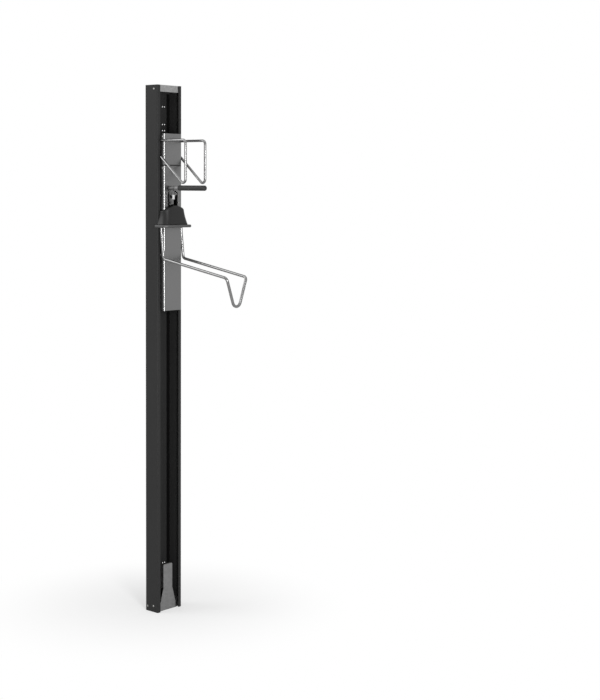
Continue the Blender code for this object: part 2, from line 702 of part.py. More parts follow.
def axle_places():
    """Each roller's name, side, setback behind the column's front and height below the carriage's top.

    The load tips the carriage out, so the upper pair bears on the slot's lips and the lower pair on
    the strips at the back.
    """
    on_lips = COLUMN_SHEET + SEAT + ROLLER_RADIUS
    on_strips = COLUMN_DEPTH - COLUMN_SHEET - SEAT - STRIP_THICKNESS - SEAT - ROLLER_RADIUS
    levels = (("upper", on_lips, -AXLE_FROM_END), ("lower", on_strips, AXLE_FROM_END - CARRIAGE_LENGTH))
    return [(f"{level}_{side}", sign, setback, z) for level, setback, z in levels for side, sign in SIDES]


def make_chassis(dark, carriage):
    """A channel with its web behind the covers, ears that hold the axles, and a shelf for the gas spring."""
    top, foot = -CHASSIS_END_GAP, CHASSIS_END_GAP - CARRIAGE_LENGTH
    half = CHASSIS_HALF_WIDTH
    corners = [(half, EAR_DEPTH), (half, -CHASSIS_FRONT), (-half, -CHASSIS_FRONT), (-half, EAR_DEPTH)]
    outline = bent_sheet(corners, CHASSIS_BEND, CHASSIS_SHEET)
    chassis = add("chassis", prism("chassis", outline, foot, top), dark, carriage)
    across = half + CHASSIS_SHEET
    slope = EAR_LENGTH * 0.2
    for edge, inward in ((top, -1), (foot, 1)):
        corner = [
            (EAR_DEPTH - slope, edge + inward * -slope),
            (EAR_DEPTH - slope, edge),
            (EAR_DEPTH, edge + inward * slope),
            (EAR_DEPTH + slope, edge + inward * slope),
            (EAR_DEPTH + slope, edge + inward * -slope),
        ]
        shape(chassis, prism("chassis_corner", corner, -across, across, "X"))
    waist = [
        (CHASSIS_WALL_DEPTH, top - EAR_LENGTH - slope),
        (EAR_DEPTH + slope, top - EAR_LENGTH + slope),
        (EAR_DEPTH + slope, foot + EAR_LENGTH - slope),
        (CHASSIS_WALL_DEPTH, foot + EAR_LENGTH + slope),
    ]
    shape(chassis, prism("chassis_waist", waist, -across, across, "X"))
    shelf_top = -SPRING_SHELF_DROP
    inset = CHASSIS_SHEET / 2
    shelf = box(
        "chassis_shelf",
        (-half + inset, -CHASSIS_FRONT + inset, shelf_top - SPRING_SHELF_SHEET),
        (half - inset, SPRING_SETBACK + SPRING_NUT_WIDTH / 2, shelf_top),
    )
    shape(chassis, shelf, "UNION")
    drill(chassis, (SPRING_X, SPRING_SETBACK, shelf_top), "Z", STUD_RADIUS + SEAT, SPRING_SHELF_SHEET * 4)
    cut_window(chassis, WINDOW_MARGIN)
    drill_cover_screws(chassis, COVER_SCREWS)
    drill_front_screws(chassis)
    for _, sign in SIDES:
        drill(chassis, (sign * half, -PIVOT_AHEAD, -PIVOT_DROP), "X", PIN_RADIUS + SEAT, CHASSIS_SHEET * 4)
    for _, sign, setback, z in axle_places():
        drill(chassis, (sign * half, setback, z), "X", BEARING_BORE_RADIUS + SEAT, CHASSIS_SHEET * 4)
    return chassis


def roller_profile():
    """A solid wheel with a raised tread, a thin web and a seat for the bearing."""
    half, tread, web = ROLLER_WIDTH / 2, ROLLER_RADIUS * 0.80, ROLLER_WIDTH * 0.32
    hub = BEARING_RADIUS + 0.22 * (ROLLER_RADIUS - BEARING_RADIUS)
    chamfer = ROLLER_WIDTH * 0.1
    bearing = BEARING_WIDTH / 2
    one = [(BEARING_RADIUS + SEAT, bearing), (hub, bearing), (hub, web), (tread, web), (tread, half)]
    one += [(ROLLER_RADIUS - chamfer, half), (ROLLER_RADIUS, half - chamfer)]
    return one + [(radius, -along) for radius, along in reversed(one)]


def bearing_profile():
    """A ball bearing with its shields set in between its two races."""
    half, bore, rim = BEARING_WIDTH / 2, BEARING_BORE_RADIUS + SEAT, BEARING_RADIUS
    race = (rim - bore) * 0.22
    sunk = half - BEARING_WIDTH * 0.07
    one = [(bore, half), (bore + race, half), (bore + race, sunk)]
    one += [(rim - race, sunk), (rim - race, half), (rim, half)]
    return one + [(radius, -along) for radius, along in reversed(one)]


def axle_profile(sign):
    """A shoulder bolt, along X from the chassis ear's inner face out to its head."""
    bearing_out = ROLLER_OFFSET + BEARING_WIDTH / 2 + SEAT
    bearing_in = ROLLER_OFFSET - BEARING_WIDTH / 2 - SEAT
    end = CHASSIS_HALF_WIDTH - CHASSIS_SHEET - SEAT - AXLE_NUT_HEIGHT * 1.15
    ear = CHASSIS_HALF_WIDTH + SEAT
    profile = [
        (0, end),
        (BEARING_BORE_RADIUS, end),
        (BEARING_BORE_RADIUS, ear),
        (AXLE_SHOULDER_RADIUS, ear),
        (AXLE_SHOULDER_RADIUS, bearing_in),
        (BEARING_BORE_RADIUS, bearing_in),
        (BEARING_BORE_RADIUS, bearing_out),
        (AXLE_HEAD_RADIUS, bearing_out),
        (AXLE_HEAD_RADIUS, bearing_out + AXLE_HEAD_HEIGHT * 0.7),
        (AXLE_HEAD_RADIUS * 0.85, bearing_out + AXLE_HEAD_HEIGHT),
        (0, bearing_out + AXLE_HEAD_HEIGHT),
    ]
    return [(radius, sign * along) for radius, along in profile]


def make_rollers(nylon, bright, zinc, carriage):
    roller = turned("roller", roller_profile(), "X", ROUND_SIDES, ring=True)
    bearing = turned("bearing", bearing_profile(), "X", HOLE_SIDES, ring=True)
    roller.materials.append(nylon)
    bearing.materials.append(bright)
    for name, sign, setback, z in axle_places():
        for piece, mesh in (("roller", roller), ("bearing", bearing)):
            obj = bpy.data.objects.new(f"{piece}_{name}", mesh)
            bpy.context.scene.collection.objects.link(obj)
            obj.parent = carriage
            obj.location = (sign * ROLLER_OFFSET, setback, z)
        bolt = turned(f"axle_bolt_{name}", axle_profile(sign), "X", HOLE_SIDES)
        add(f"axle_bolt_{name}", bolt, zinc, carriage, (0, setback, z))
        nut = hex_nut(f"axle_nut_{name}", AXLE_NUT_WIDTH, AXLE_NUT_HEIGHT, BEARING_BORE_RADIUS + SEAT, "X")
        inner = CHASSIS_HALF_WIDTH - CHASSIS_SHEET - SEAT
        x = inner - AXLE_NUT_HEIGHT if sign > 0 else -inner
        add(f"axle_nut_{name}", nut, zinc, carriage, (x, setback, z))


def make_side_guides(bright, carriage):
    """A wire loop on each side: out, down, and slanting back in under itself."""
    outer = -GUIDE_REACH
    corners = [
        (-GUIDE_START, -GUIDE_TOP_DROP),
        (outer, -GUIDE_TOP_DROP),
        (outer, -GUIDE_CORNER_DROP),
        (-GUIDE_START, -GUIDE_FOOT_DROP),
    ]
    for side, sign in SIDES:
        path = filleted([(sign * GUIDE_X, y, z) for y, z in corners], GUIDE_BEND, 6)
        wire(f"side_guide_{side}", path, GUIDE_WIRE_RADIUS, bright, carriage)


def cradle_path():
    """The rod's centre line from its left end, down, out, through the vee, and back to its right end."""
    knee = (-CRADLE_KNEE_OUT, -CRADLE_KNEE_DROP)
    tip = (-CRADLE_REACH, -CRADLE_KNEE_DROP - CRADLE_ARM_FALL)
    vee = tip[1] - CRADLE_X / math.tan(CRADLE_VEE_ANGLE)
    arm = [
        (-CRADLE_LEG_START, -CRADLE_LEG_TOP_DROP),
        (-CRADLE_LEG_START, -CRADLE_LEG_TOP_DROP - CRADLE_LEG_STRAIGHT),
        knee,
        tip,
    ]
    left = filleted([(-CRADLE_X, y, z) for y, z in arm] + [(0, tip[0], vee)], CRADLE_BEND, 5)[:-1]
    centre = vee + CRADLE_VEE_RADIUS / math.sin(CRADLE_VEE_ANGLE)
    lean = math.degrees(CRADLE_VEE_ANGLE)
    bottom = arc_points((0, centre), CRADLE_VEE_RADIUS, 180 + lean, 360 - lean, 10)
    right = [(-x, y, z) for x, y, z in reversed(left)]
    return left + [(x, tip[0], z) for x, z in bottom] + right


def make_cradle(bright, carriage):
    wire("wheel_cradle", cradle_path(), CRADLE_ROD_RADIUS, bright, carriage)


def buffer_section(width, reach, inset, z, crown):
    """One level of the buffer seen from above: straight at the back, round at its two front corners."""
    half = width / 2 - inset
    corner = max(BUFFER_CORNER - inset, BUFFER_CORNER / 2)
    back, front = -SLIDE_PLAY - inset, -reach + inset
    left = arc_points((-half + corner, front + corner), corner, 180, 270, 6)
    shares = [2 * i / BUFFER_FRONT_PARTS - 1 for i in range(1, BUFFER_FRONT_PARTS // 2 + 1)]
    left += [(share * (half - corner), front) for share in shares]
    out = left + [(-x, y) for x, y in reversed(left)]
    loop = out + [(x, back) for x, _ in reversed(out)]
    return [(x, y, z + crown * (1 - (x / half) ** 2)) for x, y in loop]


def make_buffer(rubber, zinc, carriage):
    """The moulded buffer flares downwards and is crowned on top. It fits round the main cover."""
    top, foot = -BUFFER_TOP_DROP, -BUFFER_TOP_DROP - BUFFER_HEIGHT
    sections = []
    levels = 6
    for i in range(levels):
        share = i / (levels - 1)
        flare = (1 - share) ** 1.8
        width = BUFFER_TOP_WIDTH + (BUFFER_BOTTOM_WIDTH - BUFFER_TOP_WIDTH) * flare
        reach = BUFFER_TOP_REACH + (BUFFER_BOTTOM_REACH - BUFFER_TOP_REACH) * (1 - share)
        z = foot + (top - BUFFER_EDGE - foot) * share
        sections.append(buffer_section(width, reach, 0, z, BUFFER_CROWN * share))
    for i in (1, 2, 3):
        angle = math.pi / 6 * i
        inset = BUFFER_EDGE * (1 - math.cos(angle))
        z = top - BUFFER_EDGE + BUFFER_EDGE * math.sin(angle)
        sections.append(buffer_section(BUFFER_TOP_WIDTH, BUFFER_TOP_REACH, inset, z, BUFFER_CROWN))
    block = add("tyre_buffer", loft("tyre_buffer", sections), rubber, carriage)
    half, front = COVER_WIDTH / 2 + SEAT, -COVER_STAND_OFF - SEAT
    past = BUFFER_HEIGHT
    hollow = box("tyre_buffer_hollow", (-half, front, foot - past), (half, past, top + past))
    shape(block, hollow)
    leg_end = -CRADLE_LEG_TOP_DROP + SEAT
    shape(block, box("tyre_buffer_leg_gap", (-LEG_HALF, -LEG_REACH, foot - past), (LEG_HALF, past, leg_end)))
    web_back = -CHASSIS_FRONT + CHASSIS_SHEET + SEAT
    tip = -COVER_STAND_OFF - BUFFER_SCREW_GRIP
    for side, sign in SIDES:
        place = (sign * BUFFER_SCREW_X, web_back, foot + BUFFER_SCREW_RISE)
        radius, depth = SCREW_RADIUS + SEAT, tip - SEAT - web_back
        bore = [(0, depth), (radius, depth), (radius, 0), (0, 0)]
        shape(block, turned("tyre_buffer_screw_bore", bore, "Y", SMALL_SIDES), location=place)
        screw(f"buffer_screw_{side}", zinc, carriage, place, 1, web_back - tip, axis="Y")


def make_buffer_plate(silver, carriage):
    """A thick plate under the buffer that also reaches round the column's front corners."""
    half, corner = PLATE_WIDTH / 2, PLATE_CORNER
    front = arc_points((-half + corner, -PLATE_REACH + corner), corner, 180, 270)
    small = PLATE_EDGE * 1.2
    rear = arc_points((-half + small, PLATE_WRAP - small), small, 90, 180, 3)
    left = rear + front
    outline = left + [(-x, y) for x, y in reversed(left)]
    top = -PLATE_TOP_DROP
    plate = add("buffer_plate", prism("buffer_plate", outline, top - PLATE_THICKNESS, top), silver, carriage)
    edge = plate.modifiers.new("edge", "BEVEL")
    edge.width = PLATE_EDGE
    edge.segments = 3
    edge.limit_method = "ANGLE"
    edge.angle_limit = math.radians(60)
    past = PLATE_THICKNESS
    low, high = top - PLATE_THICKNESS - past, top + past
    half = COLUMN_WIDTH / 2 + SLIDE_PLAY
    shape(plate, box("buffer_plate_column_gap", (-half, -SLIDE_PLAY, low), (half, PLATE_WRAP * 3, high)))
    half, front = COVER_WIDTH / 2 + SEAT, -COVER_STAND_OFF - SEAT
    shape(plate, box("buffer_plate_cover_gap", (-half, front, low), (half, past, high)))
    shape(plate, box("buffer_plate_leg_gap", (-LEG_HALF, -LEG_REACH, low), (LEG_HALF, past, high)))
    return plate


def make_handle(bright, rubber, lever):
    """The lever's rod, jogged out to clear the tyre, and the rubber grip on its straight end."""
    root = -COVER_STAND_OFF - LEVER_GAP
    jog = root - HANDLE_ROOT_LENGTH
    straight = jog - HANDLE_JOG_LENGTH
    rod_tip = -HANDLE_REACH + GRIP_END_WALL + SEAT
    corners = [(LEVER_X, root), (LEVER_X, jog), (-HANDLE_OFFSET, straight), (-HANDLE_OFFSET, rod_tip)]
    ahead, height = PIVOT_AHEAD, HANDLE_ABOVE_PIVOT
    path = filleted([(x, y + ahead, height) for x, y in corners], HANDLE_BEND, 6)
    wire("lever_rod", path, HANDLE_ROD_RADIUS, bright, lever)
    bore = HANDLE_ROD_RADIUS + SEAT
    dome = GRIP_RADIUS * 0.35
    collar = GRIP_RADIUS * 0.12
    profile = [
        (0, GRIP_LENGTH - GRIP_END_WALL),
        (bore, GRIP_LENGTH - GRIP_END_WALL),
        (bore, 0),
        (GRIP_RADIUS - collar, 0),
        (GRIP_RADIUS, collar),
        (GRIP_RADIUS, GRIP_LENGTH - dome),
        (GRIP_RADIUS * 0.88, GRIP_LENGTH - dome * 0.4),
        (GRIP_RADIUS * 0.6, GRIP_LENGTH),
        (0, GRIP_LENGTH),
    ]
    mesh = turned("lever_grip", [(radius, -along) for radius, along in profile], "Y", HOLE_SIDES)
    add("lever_grip", mesh, rubber, lever, (-HANDLE_OFFSET, ahead - HANDLE_REACH + GRIP_LENGTH, height))


def lever_plate_outline():
    """The plate's side outline about the pivot: through the window, under the rod, slanting back below."""
    cover = -COVER_STAND_OFF - LEVER_GAP
    top = -HANDLE_DROP - HANDLE_ROD_RADIUS - SEAT
    side = WINDOW_WIDTH / 2 - WINDOW_RADIUS
    corner = min(max(-LEVER_X + LEVER_SHEET / 2 - side, 0), WINDOW_RADIUS)
    window = -WINDOW_TOP_DROP - WINDOW_RADIUS + math.sqrt(WINDOW_RADIUS**2 - corner**2) - LEVER_GAP / 2
    nose_low = top - LEVER_NOSE_DEPTH
    nose = [(cover, top), (-LEVER_NOSE_REACH, top), (-LEVER_NOSE_REACH, nose_low)]
    nose += [(-LEVER_CHIN_REACH, nose_low)]
    slant = (LEVER_CHIN_REACH - PIVOT_AHEAD) * 0.25
    outline = [(-PIVOT_AHEAD, window), (cover, window)] + filleted(nose, LEVER_CORNER, 4)
    chin = -PIVOT_DROP - LEVER_CHIN_BELOW_PIVOT
    outline += [(-LEVER_CHIN_REACH, chin), (-PIVOT_AHEAD - HUB_RADIUS, chin - slant)]
    outline += [(-PIVOT_AHEAD + HUB_RADIUS * 0.7, -PIVOT_DROP)]
    return [(y + PIVOT_AHEAD, z + PIVOT_DROP) for y, z in outline]


def make_lever(silver, rubber, lever):
    """The plate, its hub on the pin, and the tail that presses the brake shoe against the column's back."""
    low = LEVER_X - LEVER_SHEET / 2
    mesh = prism("lever_plate", lever_plate_outline(), low, low + LEVER_SHEET, "X")
    plate = add("lever_plate", mesh, silver, lever)
    drill(plate, (LEVER_X, PIVOT_AHEAD - EYE_OUT, -EYE_BELOW_PIVOT), "X", EYE_RADIUS, LEVER_SHEET * 3)
    hub_end = CHASSIS_HALF_WIDTH - CHASSIS_SHEET - SHOE_GAP
    hub = [(0, -hub_end), (HUB_RADIUS, -hub_end), (HUB_RADIUS, hub_end), (0, hub_end)]
    shape(plate, turned("lever_hub", hub, "X", HOLE_SIDES), "UNION")
    half, end = TAIL_DEPTH / 2, PAD_FRONT + SEAT
    tail = [(0, -half), (end, SHOE_RISE - half), (end, SHOE_RISE + half), (0, half)]
    low = TAIL_X - LEVER_SHEET / 2
    shape(plate, prism("lever_tail", tail, low, low + LEVER_SHEET, "X"), "UNION")
    sides = (TAIL_X - SHOE_WIDTH / 2, TAIL_X + SHOE_WIDTH / 2)
    foot, head = SHOE_RISE - SHOE_HEIGHT / 2, SHOE_RISE + SHOE_HEIGHT / 2
    pad = box("lever_shoe_pad", (sides[0], PAD_FRONT, foot), (sides[1], PAD_BACK, head))
    shape(plate, pad, "UNION")
    drill(plate, (0, 0, 0), "X", PIN_RADIUS + SEAT, hub_end * 3)
    shoe = box("brake_shoe", (sides[0], PAD_BACK + SEAT, foot), (sides[1], SHOE_BACK, head))
    add("brake_shoe", shoe, rubber, lever)


def make_lever_pin(zinc, bright, carriage):
    """The pin through the chassis walls, and the spring that turns the lever back.

    The spring's rear leg lies where the tail reaches when the lever is pressed right down.
    """
    end = CHASSIS_HALF_WIDTH - SEAT
    place = (0, -PIVOT_AHEAD, -PIVOT_DROP)
    profile = [(0, -end), (PIN_RADIUS, -end), (PIN_RADIUS, end), (0, end)]
    add("lever_pin", turned("lever_pin", profile, "X", HOLE_SIDES), zinc, carriage, place)
    coil = HUB_RADIUS + SHOE_GAP + LEVER_SPRING_WIRE_RADIUS
    web_back = PIVOT_AHEAD - CHASSIS_FRONT + CHASSIS_SHEET
    leg = web_back + SEAT + LEVER_SPRING_WIRE_RADIUS
    start = math.pi - math.acos(-leg / coil)
    finish = math.pi / 2
    swept = 2 * math.pi * LEVER_SPRING_TURNS + start - finish
    steps = round(COIL_STEPS * swept / (2 * math.pi))
    path = [(LEVER_SPRING_START_X, leg, LEVER_SPRING_UPPER_LEG)]
    for i in range(steps + 1):
        angle = start - swept * i / steps
        x = LEVER_SPRING_START_X - LEVER_SPRING_PITCH * LEVER_SPRING_TURNS * i / steps
        path.append((x, coil * math.cos(angle), coil * math.sin(angle)))
    tilt = math.atan2(SHOE_RISE, PAD_FRONT) + LEVER_SWING
    half = TAIL_DEPTH / 2
    raised = half * math.cos(LEVER_SWING)
    raised += (LEVER_SPRING_REAR_LEG + half * math.sin(LEVER_SWING)) * math.tan(tilt)
    height = raised + (LEVER_SPRING_WIRE_RADIUS + SEAT) / math.cos(tilt)
    last = path[-1][0]
    path += [(last, LEVER_SPRING_REAR_LEG, height), (TAIL_X - LEVER_SHEET / 2, LEVER_SPRING_REAR_LEG, height)]
    spring = wire("lever_spring", path, LEVER_SPRING_WIRE_RADIUS, bright, carriage)
    spring.location = place
    spring.data.bevel_resolution = 1


def main():
    clear_scene()
    anthracite = material("anthracite_powder_coat", (0.045, 0.046, 0.048), 0.45)
    silver = material("silver_sheet", (0.42, 0.42, 0.42), 0.38, 0.9)
    galvanised = material("galvanised_sheet", (0.32, 0.33, 0.33), 0.5, 0.8)
    bright = material("bright_rod", (0.62, 0.62, 0.62), 0.25, 1.0)
    dark_steel = material("dark_chassis_steel", (0.10, 0.10, 0.105), 0.5, 0.7)
    zinc = material("zinc_fastener", (0.55, 0.55, 0.53), 0.35, 1.0)
    chrome = material("chromed_rod", (0.75, 0.75, 0.76), 0.12, 1.0)
    black_paint = material("black_cylinder_paint", (0.02, 0.02, 0.02), 0.3)
    black_plastic = material("black_wear_plastic", (0.012, 0.012, 0.012), 0.6)
    rubber = material("black_moulded_rubber", (0.03, 0.03, 0.03), 0.55)
    nylon = material("natural_nylon", (0.75, 0.74, 0.70), 0.45)

    root = frame_empty("column_frame", (0, 0, -COLUMN_HEIGHT / 2))
    carriage = frame_empty("carriage_frame", (0, -COLUMN_DEPTH, CARRIAGE_TOP), root)

    make_column(anthracite, root)
    make_bracket_screws(zinc, root)
    make_top_bracket(silver, root)
    make_foot_bracket(galvanised, root)
    make_strips(black_plastic, root)
    make_gas_spring_rod(chrome, zinc, root)

    make_chassis(dark_steel, carriage)
    make_covers(silver, zinc, carriage)
    make_gas_spring_cylinder(black_paint, zinc, carriage)
    make_rollers(nylon, bright, zinc, carriage)
    make_side_guides(bright, carriage)
    make_cradle(bright, carriage)
    make_buffer(rubber, zinc, carriage)
    make_buffer_plate(silver, carriage)

    lever = frame_empty("lever_frame", (0, -PIVOT_AHEAD, -PIVOT_DROP), carriage)
    make_lever(silver, rubber, lever)
    make_handle(bright, rubber, lever)
    make_lever_pin(zinc, bright, carriage)


main()
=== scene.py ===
"""Dresses a packed wall-mounted bike lift: fine shapes, finishes, a plain stage and a camera."""

import json
import math

import bmesh
import bpy
from bpy.props import FloatProperty, FloatVectorProperty, PointerProperty
from mathutils import Matrix, Vector


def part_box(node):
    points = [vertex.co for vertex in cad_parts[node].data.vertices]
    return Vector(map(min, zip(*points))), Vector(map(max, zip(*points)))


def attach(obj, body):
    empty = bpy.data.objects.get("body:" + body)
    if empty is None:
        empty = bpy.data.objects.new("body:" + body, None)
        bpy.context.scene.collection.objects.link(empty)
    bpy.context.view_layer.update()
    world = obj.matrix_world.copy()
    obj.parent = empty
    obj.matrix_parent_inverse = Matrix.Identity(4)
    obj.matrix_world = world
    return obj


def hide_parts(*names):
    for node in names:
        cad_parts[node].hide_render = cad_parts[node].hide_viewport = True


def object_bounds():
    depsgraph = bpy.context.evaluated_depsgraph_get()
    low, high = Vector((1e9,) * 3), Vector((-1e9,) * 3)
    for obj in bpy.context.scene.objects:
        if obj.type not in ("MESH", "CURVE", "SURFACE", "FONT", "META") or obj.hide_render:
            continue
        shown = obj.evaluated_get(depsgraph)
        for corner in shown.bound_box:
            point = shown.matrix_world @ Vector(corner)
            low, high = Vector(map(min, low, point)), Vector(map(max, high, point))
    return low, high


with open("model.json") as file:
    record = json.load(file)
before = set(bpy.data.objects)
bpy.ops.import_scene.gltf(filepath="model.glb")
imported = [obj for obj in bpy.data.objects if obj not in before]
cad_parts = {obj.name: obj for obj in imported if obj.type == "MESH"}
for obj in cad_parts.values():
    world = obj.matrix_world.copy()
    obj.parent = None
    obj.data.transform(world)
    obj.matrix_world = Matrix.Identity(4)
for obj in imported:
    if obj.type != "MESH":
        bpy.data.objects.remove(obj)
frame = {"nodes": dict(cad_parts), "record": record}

bl_info = {
    "name": "Bike lift dresser",
    "version": (1, 0, 0),
    "blender": (4, 5, 0),
    "location": "View3D > Sidebar > Lift",
    "description": "Builds the fine shapes and finishes of a wall-mounted bike lift",
    "category": "Object",
}

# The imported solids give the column's corners and the carriage's top
CAD_LOW, CAD_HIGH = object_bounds()
COLUMN_LOW, COLUMN_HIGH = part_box("column_profile")
CARRIAGE_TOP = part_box("upper_cover")[1].z
COVER_LOW, COVER_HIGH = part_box("main_cover")
SIDES = (("left", -1), ("right", 1))

CAP_HEIGHT = COLUMN_HIGH.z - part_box("top_bracket")[0].z
FOOT_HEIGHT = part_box("foot_bracket")[1].z - COLUMN_LOW.z

# Places on the carriage: ahead of the column's front and below the carriage's top
PIN_AHEAD = 0.0037
PIN_DROP = 0.212
LEG_AHEAD = 0.0085
LEG_DROP = 0.303

# Places across the lift, from its middle
LEVER_X = -0.018
GRIP_X = -0.045

# The middle of the lever plate's eye
EYE = Vector((LEVER_X, COLUMN_LOW.y - 0.0285, CARRIAGE_TOP - 0.2175))

# Small gaps between neighbours
SEAT = 0.0003
SLIDE_PLAY = 0.0015
PLATE_PLAY = 0.0019
CRADLE_GAP = 0.0006
# How far a face stands back from its neighbour's, so that the two never share a plane
HAIR = 0.0001


def length(name, description, default):
    return FloatProperty(
        name=name, description=description, default=default, min=0.0, precision=4, unit="LENGTH"
    )


def tint(name, description, grey, warmth=0.0):
    """A nearly neutral colour. Warmth is how far red stands over blue."""
    default = (grey * (1 + warmth), grey, grey * (1 - warmth))
    return FloatVectorProperty(
        name=name, description=description, default=default, size=3, min=0.0, max=1.0, subtype="COLOR"
    )


class LiftColumnSizes(bpy.types.PropertyGroup):
    sheet: length("Sheet", "Thickness of the column's steel", 0.0025)
    bend: length("Bend", "Outer radius of the column's bends", 0.004)
    slot: length("Slot", "Width of the slot between the front lips", 0.088)
    hole: length("Fixing hole", "Radius of the fixing holes in the back", 0.0024)
    hanging_mark: length("Hanging mark", "Radius of the two round marks near the top", 0.005)
    mark_depth: length("Mark depth", "Depth of the two round marks", 0.001)
    bracket: length("Bracket sheet", "Thickness of the top and foot brackets", 0.003)
    cap: length("Cap height", "Height of the top bracket", CAP_HEIGHT)
    foot: length("Foot plate height", "Height of the foot bracket's plate", FOOT_HEIGHT)


class LiftCarriageSizes(bpy.types.PropertyGroup):
    cover_sheet: length("Cover sheet", "Thickness of the covers", 0.002)
    cover_bend: length("Cover bend", "Outer radius of the covers' bends", 0.004)
    window: length("Window", "Width of the window in the main cover", 0.047)
    joint: length("Joint", "Extra gap between the covers at each one's edge", 0.0008)
    guide_wire: length("Guide wire", "Radius of the side guides' wire", 0.0045)
    cradle_rod: length("Cradle rod", "Radius of the wheel cradle's rod", 0.005)
    buffer_corner: length("Buffer corner", "Radius of the buffer's front corners", 0.022)
    buffer_crown: length("Buffer crown", "Rise of the buffer's top at its middle", 0.017)
    plate_edge: length("Plate edge", "Rounding of the buffer plate's edges", 0.0032)


class LiftLeverSizes(bpy.types.PropertyGroup):
    sheet: length("Plate", "Thickness of the lever plate", 0.005)
    eye: length("Eye", "Radius of the lever plate's eye", 0.0062)
    rod: length("Rod", "Radius of the handle's rod", 0.0072)
    grip: length("Grip", "Radius of the grip", 0.009)


class LiftColours(bpy.types.PropertyGroup):
    coat: tint("Column coat", "Powder coat of the column", 0.0235)
    cover: tint("Cover sheet", "Satin sheet of the covers", 0.19)
    # Painted highlight: the colour laid along the covers' front folds in place of the light that the bends
    # catch
    highlight_colour: tint("Burnished folds", "Folded edges of the covers, rubbed bright", 0.36)
    cap: tint("Cap", "Zinc-coated sheet of the top bracket", 0.3)
    plate: tint("Plate", "Coated sheet of the plate under the buffer", 0.1)
    lever: tint("Lever plate", "Satin sheet of the lever's plate", 0.165)
    lever_rod: tint("Lever rod", "Dull zinc of the lever's rod", 0.2)
    foot: tint("Foot", "Zinc-coated sheet of the foot bracket", 0.2)
    rod: tint("Bright rod", "Plated rods of the guides and the cradle", 0.21)
    moulding: tint("Moulding", "Black moulded buffer", 0.003)
    rubber: tint("Rubber", "Rubber of the grip", 0.013)
    plastic: tint("Strips", "Plastic of the wear strips", 0.003)
    floor: tint("Floor", "Pale floor", 0.85)


# Shapes


def on_carriage(x, ahead, drop):
    """A place by its distance ahead of the column's front and below the carriage's top."""
    return Vector((x, COLUMN_LOW.y - ahead, CARRIAGE_TOP - drop))


def turn_to(axis, u, v, w):
    """Carries (u, v) across and w along to the axis: X takes (y, z), Y takes (x, z), Z takes (x, y)."""
    return {"X": (w, u, v), "Y": (u, w, v), "Z": (u, v, w)}[axis]


def filleted(points, radius, steps=8, hold=0.0):
    """A polyline in two or three dimensions, with each inner corner rounded to the radius.

    Points at the hold distance from each bend keep its shading off the flat parts.
    """
    flat = len(points[0]) == 2
    nodes = [Vector((*p, 0)) if flat else Vector(p) for p in points]
    path = [nodes[0]]
    for before, corner, after in zip(nodes, nodes[1:], nodes[2:]):
        back, ahead = (before - corner).normalized(), (after - corner).normalized()
        half = back.angle(ahead) / 2
        if math.pi / 2 - half < 1e-4:
            continue
        setback = radius / math.tan(half)
        centre = corner + (back + ahead).normalized() * (radius / math.sin(half))
        start, end = corner + back * setback - centre, corner + ahead * setback - centre
        bend = [centre + start.slerp(end, i / steps) * radius for i in range(steps + 1)]
        if hold:
            bend = [bend[0] + back * hold] + bend + [bend[-1] + ahead * hold]
        path += bend
    path.append(nodes[-1])
    return [tuple(p)[:2] if flat else tuple(p) for p in path]


def arc(centre, radius, start, end, steps=8):
    """Points on an arc, with its angles in degrees."""
    angles = [math.radians(start + (end - start) * i / steps) for i in range(steps + 1)]
    return [(centre[0] + radius * math.cos(a), centre[1] + radius * math.sin(a)) for a in angles]


def folded(corners, bend, sheet):
    """The outline of a sheet that follows its outer corners and folds to their right, with round bends."""
    nodes = [Vector(corner) for corner in corners]
    headings = [(b - a).normalized() for a, b in zip(nodes, nodes[1:])]
    inner = []
    for i, node in enumerate(nodes):
        before, after = headings[max(i - 1, 0)], headings[min(i, len(headings) - 1)]
        side = (Vector((before.y, -before.x)) + Vector((after.y, -after.x))).normalized()
        inner.append(node + side * (sheet / side.dot(Vector((after.y, -after.x)))))
    hold = sheet * 0.2
    inside = filleted([tuple(n) for n in inner], max(bend - sheet, sheet * 0.3), hold=hold)
    return filleted([tuple(n) for n in nodes], bend, hold=hold) + inside[::-1]


def mirrored(outline):
    """The left half of an outline with its mirror image on the right."""
    return outline + [(-x, v) for x, v in reversed(outline)]


def prism(bm, outline, low, high, axis="Z"):
    """Adds a flat outline drawn across an axis and extruded along it."""
    face = bm.faces.new([bm.verts.new(turn_to(axis, u, v, low)) for u, v in outline])
    grown = bmesh.ops.extrude_face_region(bm, geom=[face])["geom"]
    moved = [item for item in grown if isinstance(item, bmesh.types.BMVert)]
    bmesh.ops.translate(bm, verts=moved, vec=Vector(turn_to(axis, 0, 0, high - low)))
    return bm


def block(bm, low, high):
    outline = [(low[0], low[1]), (high[0], low[1]), (high[0], high[1]), (low[0], high[1])]
    return prism(bm, outline, low[2], high[2])


def lathe(bm, profile, axis="Z", place=(0, 0, 0), sides=48, ring=False):
    """Adds (radius, along) points turned round an axis. A ring's profile closes on itself, off the axis."""
    place = Vector(place)
    rings = []
    for radius, along in profile:
        count = sides if radius else 1
        angles = [2 * math.pi * i / count for i in range(count)]
        spots = [turn_to(axis, radius * math.cos(a), radius * math.sin(a), along) for a in angles]
        rings.append([bm.verts.new(place + Vector(spot)) for spot in spots])
    for first, second in zip(rings, rings[1:] + rings[:1] if ring else rings[1:]):
        for i in range(sides):
            j = (i + 1) % sides
            corners = [first[i % len(first)], first[j % len(first)]]
            corners += [second[j % len(second)], second[i % len(second)]]
            bm.faces.new(list(dict.fromkeys(corners)))
    return bm


